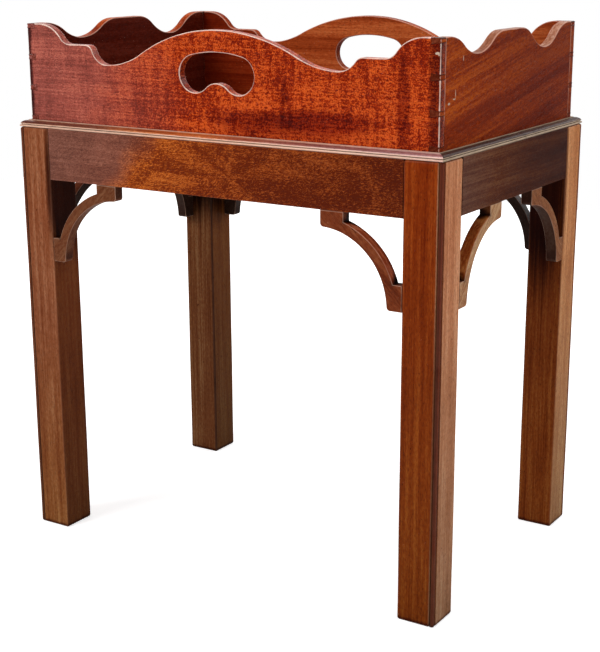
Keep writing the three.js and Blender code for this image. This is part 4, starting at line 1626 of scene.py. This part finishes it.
@dataclass
class Mouldings(StandPart):
    """The mitred lip round the top of the stand: a bead, a quirk, a rounded thumb and a fillet.

    Args:
        width: Width of the lip.
        height: Its height.
        bead: Radius of the bead.
        quirk_width: Height of the groove over the bead.
        quirk_depth: Its depth.
        setback: How far the thumb starts behind the bead.
        top_flat: Width of the flat on top.
        fillet: Height of the step under the flat.
        inner_corner: Size of the chamfer at the tray's side.
        base: Height of its underside above the floor.
        clearance: Gap at each mitre.
        thumb_line: Middle of the thumb: in from the outer face, and up.
    """

    width: float = 11.0
    height: float = 9.0
    bead: float = 1.3
    quirk_width: float = 0.9
    quirk_depth: float = 1.9
    setback: float = 0.8
    top_flat: float = 2.0
    fillet: float = 0.7
    inner_corner: float = 0.5
    base: float = 570.25
    clearance: float = 0.18
    thumb_line: Pair = (3.2, 6.85)

    def _profile(self) -> Outline:
        """Section of the lip: a quarter of an ellipse under a fillet, and half a circle for the bead.

        Returns:
            The section.
        """
        foot, inner = 2 * self.bead + self.quirk_width, self.inner_corner
        flat = self.width - self.top_flat
        thumb = arc((0, 0), 1.0, 90, 180, 18) * (flat - self.setback, self.height - self.fillet - foot)
        rows = np.vstack([
            [(self.width, 0.0), (self.width, self.height - inner), (self.width - inner, self.height),
             (flat, self.height)],
            thumb + (flat, foot),
            [(self.quirk_depth, foot), (self.quirk_depth, 2 * self.bead)],
            arc((self.bead, self.bead), self.bead, 90, 270, 16)])
        return Outline(eased(rows, 0.0), pitch=1.5, sharp=38.0)

    def _cut(self, side: Side, index: int, length: float) -> Cut:
        """How a strip is sawn, and the painted reflection and darker patches laid on it.

        Args:
            side: Side of the stand.
            index: Its number, which picks its place in the log.
            length: Its length.

        Returns:
            The cut.
        """
        cut = Cut(ALONG_X if side.wide else ALONG_Y, (*side.value[0], 0.0),
                  (0.7 * index, 1.3 * index, 0.5), (-length / 2 * METRE, length / 2 * METRE))
        inward, up = self.thumb_line
        front, right = (inward - self.stand_depth / 2) * METRE, (self.stand_width / 2 - inward) * METRE
        level = (self.base + up) * METRE
        if side is Side.FRONT:
            # Painted reflection near the right end of the front strip.
            return replace(cut, bloom_and_sheen=((0.5, 0.0), (0.9, 0.5)), bloom_and_sheen_colour="e6ccd4",
                           shades=((0.0, "b0b8e8"), (0.22, "b0b8e8"), (0.4, "fcfcff")),
                           stains_and_shade=(((0.27, front, level), (0.25, 0.003, 0.0026), "c0a6a8"),
                                   ((-0.3, front, level), (0.2, 0.003, 0.003), "a890a0")))
        if side is Side.RIGHT:
            return replace(cut, stains_and_shade=(((right, 0.0, level), (0.0036, 4.0, 0.003), "dcb4a0"),))
        return cut

    def build(self, workshop: Workshop) -> None:
        """Makes the four strips.

        Args:
            workshop: Where their materials are made.
        """
        for index, side in enumerate(Side):
            length, turn, origin = self.side(side)
            name = "moulding_" + side.word
            wood = {Side.FRONT: MOULDING, Side.RIGHT: DULL_MOULDING}.get(side, PLAIN_MOULDING)
            material = workshop.polished(name, wood, self._cut(side, index, length))
            shell = mitred(self._profile(), length, self.clearance)
            strip = shell.placed(turn[:, [0, 2, 1]], origin + (0, 0, self.base))
            add_piece(name, [strip], "stand", material)


@dataclass
class Brackets(StandPart):
    """Eight pierced brackets: a curved strut with a pad under the apron and a pad on the leg.

    Args:
        inset: Distance from the end of a side to a bracket's corner.
        top: Height of that corner above the floor.
        reach: How far a bracket reaches along the apron and down the leg.
        pad_depth: Depth of the pads.
        pad_length: Their length.
        strut: Width of the strut.
        thickness: Thickness of a bracket.
        corner: Radius of the pads' corners.
        arris: Ease of the arrises.
        waver: How unevenly they are eased.
        lit: Tone of the outer face at the right front.
        shaded: The same at the right back.
        dark: Painted shade on faces that are seen through the stand.
        dull: Painted shade on the inner curve of the right back bracket.
        rubbed_and_highlight: Painted highlight on the outer curve of the front right bracket.
        dim_highlight: A dimmer painted highlight on the curve of the right front bracket.
        left_tone: Tone of the front left bracket.
        corner_shade: Colour of the painted shade where a strut meets its pads.
        corner_shade_reach: Reach of that shade in metres.
        corner_shade_inset: How far its middle lies in from the apron or the leg.
        corner_shade_back: How far its middle lies behind the bracket.
        corner_shaded: Brackets that have it.
    """

    inset: float = 50.25
    top: float = 501.75
    reach: float = 111.0
    pad_depth: float = 20.0
    pad_length: float = 32.0
    strut: float = 13.0
    thickness: float = 15.0
    corner: float = 4.5
    arris: float = 0.8
    waver: float = 0.2
    lit: Tone = Tone("ae7850", 0.8)
    shaded: Tone = Tone("90562f", 0.8)
    dark: Tone = Tone("34221a", 0.6)
    dull: Tone = Tone("3f2418", 0.7)
    rubbed_and_highlight: Tone = Tone("ac4e2c", 1.1)
    dim_highlight: Tone = Tone("9c4a1e", 1.3)
    left_tone: Tone = Tone("683820", 0.8)
    corner_shade: str = "241a14"
    corner_shade_reach: Triple = (0.018, 0.016, 0.014)
    corner_shade_inset: float = 12.0
    corner_shade_back: float = 2.0
    corner_shaded: tuple[str, ...] = ("bracket_front_right", "bracket_right_front")

    def _outline(self) -> Outline:
        """Outline with the corner at the origin: along under the apron, and up.

        Returns:
            The outline.
        """
        reach, radius = self.reach, self.corner
        inner = reach - self.pad_depth
        outer = inner + self.strut
        pad_lean = math.degrees(math.asin(self.pad_length / outer))
        lean = math.degrees(math.asin(radius / (inner + radius)))
        away = (inner + radius) * math.cos(math.radians(lean))
        rows = np.vstack([
            [(reach - self.pad_length, 0.0)],
            arc((reach, -reach), outer, 90 + pad_lean, 180 - pad_lean, 48),
            [(0.0, self.pad_length - reach), (0.0, -reach)],
            arc((reach - away, radius - reach), radius, 270, 360 - lean, 10),
            arc((reach, -reach), inner, 180 - lean, 90 + lean, 60),
            arc((reach - radius, away - reach), radius, 270 + lean, 360, 10),
            [(reach, 0.0)]])
        return Outline(eased(rows, self.arris), waver=self.waver)

    def _faces(self, side: Side, end: int) -> tuple[tuple[Triple, Tone], ...]:
        """Faces of a bracket with painted light, painted shade and painted highlights, and their tones.

        Args:
            side: Side of the stand.
            end: -1 for its first bracket, 1 for its second.

        Returns:
            Direction and tone of each.
        """
        if side is Side.FRONT:
            # Painted highlight on the outer curve of the front right bracket.
            return (((0.6, 0.0, 0.8), self.rubbed_and_highlight),) if end > 0 else ()
        if side is Side.RIGHT:
            # Right back bracket: painted shade on its outer face and on its inner curve.
            if end > 0:
                return ((ALONG_X, self.shaded), ((0.0, -0.9, -0.43), self.dull))
            # Right front bracket: painted light on its outer face, and a dim painted highlight on its curve.
            return ((ALONG_X, self.lit), ((0.0, -0.6, 0.8), self.dim_highlight))
        # Painted shade on faces seen through the stand.
        return ((ALONG_X, self.dark), ((0.0, -1.0, 0.0), self.dark))

    def _corner_shade(self, turn: np.ndarray, start: np.ndarray) -> tuple[tuple[Triple, Triple, str], ...]:
        """Painted shade where the strut of a bracket meets its pads.

        Args:
            turn: Directions of the bracket.
            start: Its corner.

        Returns:
            Place, reach and colour of each patch.
        """
        tip, inset, back = self.reach - self.pad_length, self.corner_shade_inset, self.thickness + self.corner_shade_back
        places = [(start + turn @ corner) * METRE for corner in ((tip, -inset, back), (inset, -tip, back))]
        return tuple((tuple(map(float, place)), self.corner_shade_reach, self.corner_shade) for place in places)

    def build(self, workshop: Workshop) -> None:
        """Makes the eight brackets.

        Args:
            workshop: Where their materials are made.
        """
        shell = slab([self._outline()], self.thickness, steps=4)
        for index, side in enumerate(Side):
            length, turn, origin = self.side(side)
            along, up, inward = turn.T
            for end, word in zip((-1, 1), side.ends):
                name = f"bracket_{side.word}_{word}"
                fitted = np.stack([-end * along, up, inward], axis=1)
                start = origin + end * along * (length / 2 - self.inset) + (0, 0, self.top)
                slant = tuple(float(part) for part in up - end * along)
                cut = Cut(slant, (*side.value[0], 0.0), (0.6 * index, 0.37 * end, 0.9 * index + end),
                          tone=self.left_tone if name == "bracket_front_left" else None,
                          faces=self._faces(side, end),
                          # Painted shade where the strut meets its pads.
                          stains_and_shade=self._corner_shade(fitted, start) if name in self.corner_shaded else ())
                material = workshop.polished(name, BRACKET, cut)
                add_piece(name, [shell.placed(fitted, start)], "stand", material)


@dataclass
class Fastenings:
    """The bottom panel's wood and the steel of the pins and screws, laid on the solids."""

    steel: str = "5c5852"
    rust: str = "4a2a1a"

    def _steel(self) -> bpy.types.Material:
        """Old iron: grey with brown rust in patches, rougher where it has rusted.

        Returns:
            The material.
        """
        material, graph = blank_material("old_iron")
        vector = graph.add("ShaderNodeTexCoord").outputs["Object"]
        patch = graph.between(graph.noise(vector, (420.0, 420.0, 420.0), 4.0, 0.6), 0.42, 0.6)
        shade = graph.blend(patch, colour(self.steel), colour(self.rust))
        rough = graph.math("MULTIPLY_ADD", patch, 0.35, 0.42)
        metal = graph.math("MULTIPLY_ADD", patch, -0.8, 0.95)
        bump = graph.add("ShaderNodeBump", {"Height": patch, "Distance": 0.0001, "Strength": 0.6})
        shader = graph.add("ShaderNodeBsdfPrincipled", {
            "Base Color": shade, "Roughness": rough, "Metallic": metal, "Normal": bump.outputs[0]})
        graph.finish(shader)
        return material

    def dress(self, workshop: Workshop) -> None:
        """Gives the solids that stay in view their materials.

        Args:
            workshop: Where the bottom's material is made.
        """
        steel = self._steel()
        floor = workshop.polished("tray_bottom", TRAY_FLOOR, Cut(ALONG_X, UPWARDS, (1.9, 0.2, 0.7)))
        for name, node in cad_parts.items():
            if "_pin_" in name or "_screw_" in name or name == "tray_bottom":
                material = floor if name == "tray_bottom" else steel
                for place in node.material_slots:
                    place.material = material
                LOG.info("%s: dressed in %s", name, material.name)


@dataclass(frozen=True)
class Lamp:
    """A soft rectangular lamp: where it hangs, what it looks at, its watts, and its size in metres."""

    name: str
    place: Triple
    aim: Triple
    power: float
    size: Pair


@dataclass
class Studio:
    """White floor and backdrop, soft lamps, and the camera.

    Args:
        eye: Place of the camera in metres.
        yaw: Turn of its view to the left of straight back, in degrees.
        pitch: Tilt of its view down.
        roll: Turn about its view.
        lens: Focal length.
        floor_size: Width of the floor in metres.
        floor_shade: Grey of the floor.
        floor_glow: Distances in metres between which the camera's white grows on the floor, and its strength.
        sky_level: Light of the world on the object.
        backdrop: Way in which the backdrop stands.
        backdrop_glow: Agreement with it between which its mirrored white grows, and its strength.
        lamps: The lamps.
    """

    eye: Triple = (1.0140, -1.6041, 0.8072)
    yaw: float = 32.398
    pitch: float = 15.274
    roll: float = -0.249
    lens: float = 77.64
    floor_size: float = 5.0
    floor_shade: float = 0.86
    floor_glow: tuple[float, float, float, float] = (0.6, 2.0, 0.62, 1.0)
    sky_level: float = 0.27
    backdrop: Triple = (-0.54, 0.84, 0.0)
    backdrop_glow: tuple[float, float, float, float] = (0.5, 0.85, 0.08, 1.0)
    lamps: tuple[Lamp, ...] = (
        Lamp("key", (-1.3, -2.5, 2.2), (0.0, 0.0, 0.45), 62.0, (1.6, 1.6)),
        Lamp("fill", (2.6, -1.6, 1.3), (0.0, 0.0, 0.4), 20.0, (1.4, 1.4)),
        Lamp("top", (0.1, 0.3, 2.6), (0.0, 0.0, 0.6), 26.0, (1.6, 1.2)),
        Lamp("back", (0.9, 2.4, 1.6), (0.0, 0.0, 0.5), 20.0, (1.4, 1.4)))

    def _camera(self) -> None:
        """Camera turned by yaw, then pitch, then roll."""
        yaw, pitch, roll = (math.radians(angle) for angle in (self.yaw, self.pitch, self.roll))
        ahead = Vector((-math.sin(yaw) * math.cos(pitch), math.cos(yaw) * math.cos(pitch), -math.sin(pitch)))
        right = Vector((math.cos(yaw), math.sin(yaw), 0.0))
        up = right.cross(ahead)
        tilted = right * math.cos(roll) + up * math.sin(roll)
        upright = up * math.cos(roll) - right * math.sin(roll)
        turn = Matrix((tilted, upright, -ahead)).transposed().to_4x4()
        data = bpy.data.cameras.new("camera")
        data.sensor_width = 36.0
        data.lens = self.lens
        data.clip_start = 0.05
        camera = put_in("camera", data)
        camera.matrix_world = Matrix.Translation(self.eye) @ turn
        bpy.context.scene.camera = camera

    def _floor(self) -> None:
        """Pale floor that shows white to the camera and still takes the shadow."""
        half = self.floor_size / 2
        mesh = bpy.data.meshes.new("floor")
        corners = [(-half, -half, 0.0), (half, -half, 0.0), (half, half, 0.0), (-half, half, 0.0)]
        mesh.from_pydata(corners, [], [(0, 1, 2, 3)])
        material, graph = blank_material("pale_floor")
        path = graph.add("ShaderNodeLightPath").outputs
        away = graph.length(graph.add("ShaderNodeTexCoord").outputs["Object"])
        glow = graph.math("MULTIPLY", path["Is Camera Ray"], graph.between(away, *self.floor_glow))
        shader = graph.add("ShaderNodeBsdfPrincipled", {
            "Base Color": (*[self.floor_shade] * 3, 1.0), "Roughness": 0.9, "Specular IOR Level": 0.0,
            "Emission Color": (1.0, 1.0, 1.0, 1.0), "Emission Strength": glow})
        graph.finish(shader)
        mesh.materials.append(material)
        floor = put_in("floor", mesh)

    def _world(self) -> None:
        """White to the camera, and mirrored white on the side where the backdrop stands."""
        world = bpy.data.worlds.new("studio")
        bpy.context.scene.world = world
        world.use_nodes = True
        world.node_tree.nodes.clear()
        graph = Graph(world.node_tree)
        way = graph.add("ShaderNodeTexCoord").outputs["Generated"]
        mirrored_white = graph.between(graph.facing(way, self.backdrop), *self.backdrop_glow)
        path = graph.add("ShaderNodeLightPath").outputs
        clear = graph.math("MAXIMUM", path["Is Glossy Ray"], path["Is Transmission Ray"])
        level = graph.add("ShaderNodeMix", {0: clear, 2: self.sky_level, 3: mirrored_white}).outputs[0]
        level = graph.add("ShaderNodeMix", {0: path["Is Camera Ray"], 2: level, 3: 1.0}).outputs[0]
        sky = graph.add("ShaderNodeBackground", {"Color": (1.0, 1.0, 1.0, 1.0), "Strength": level})
        graph.finish(sky, "ShaderNodeOutputWorld")

    def build(self) -> None:
        """Sets up the view, the floor, the world and the lamps."""
        bpy.context.scene.view_settings.view_transform = "Standard"
        self._camera()
        self._floor()
        self._world()
        for lamp in self.lamps:
            data = bpy.data.lights.new(lamp.name, "AREA")
            data.shape = "RECTANGLE"
            data.size, data.size_y = lamp.size
            data.energy = lamp.power
            hung = put_in(lamp.name, data)
            hung.location = lamp.place
            hung.rotation_euler = (Vector(lamp.aim) - Vector(lamp.place)).to_track_quat("-Z", "Y").to_euler()


def main() -> None:
    """Builds the studio and every piece of the tray and the stand in order."""
    logging.basicConfig(level=logging.INFO, format="%(name)s %(message)s")
    Studio().build()
    workshop = Workshop()
    TrayBoards().build(workshop)
    Legs().build(workshop)
    Aprons().build(workshop)
    Mouldings().build(workshop)
    Brackets().build(workshop)
    Fastenings().dress(workshop)


if __name__ == "__main__":
    main()
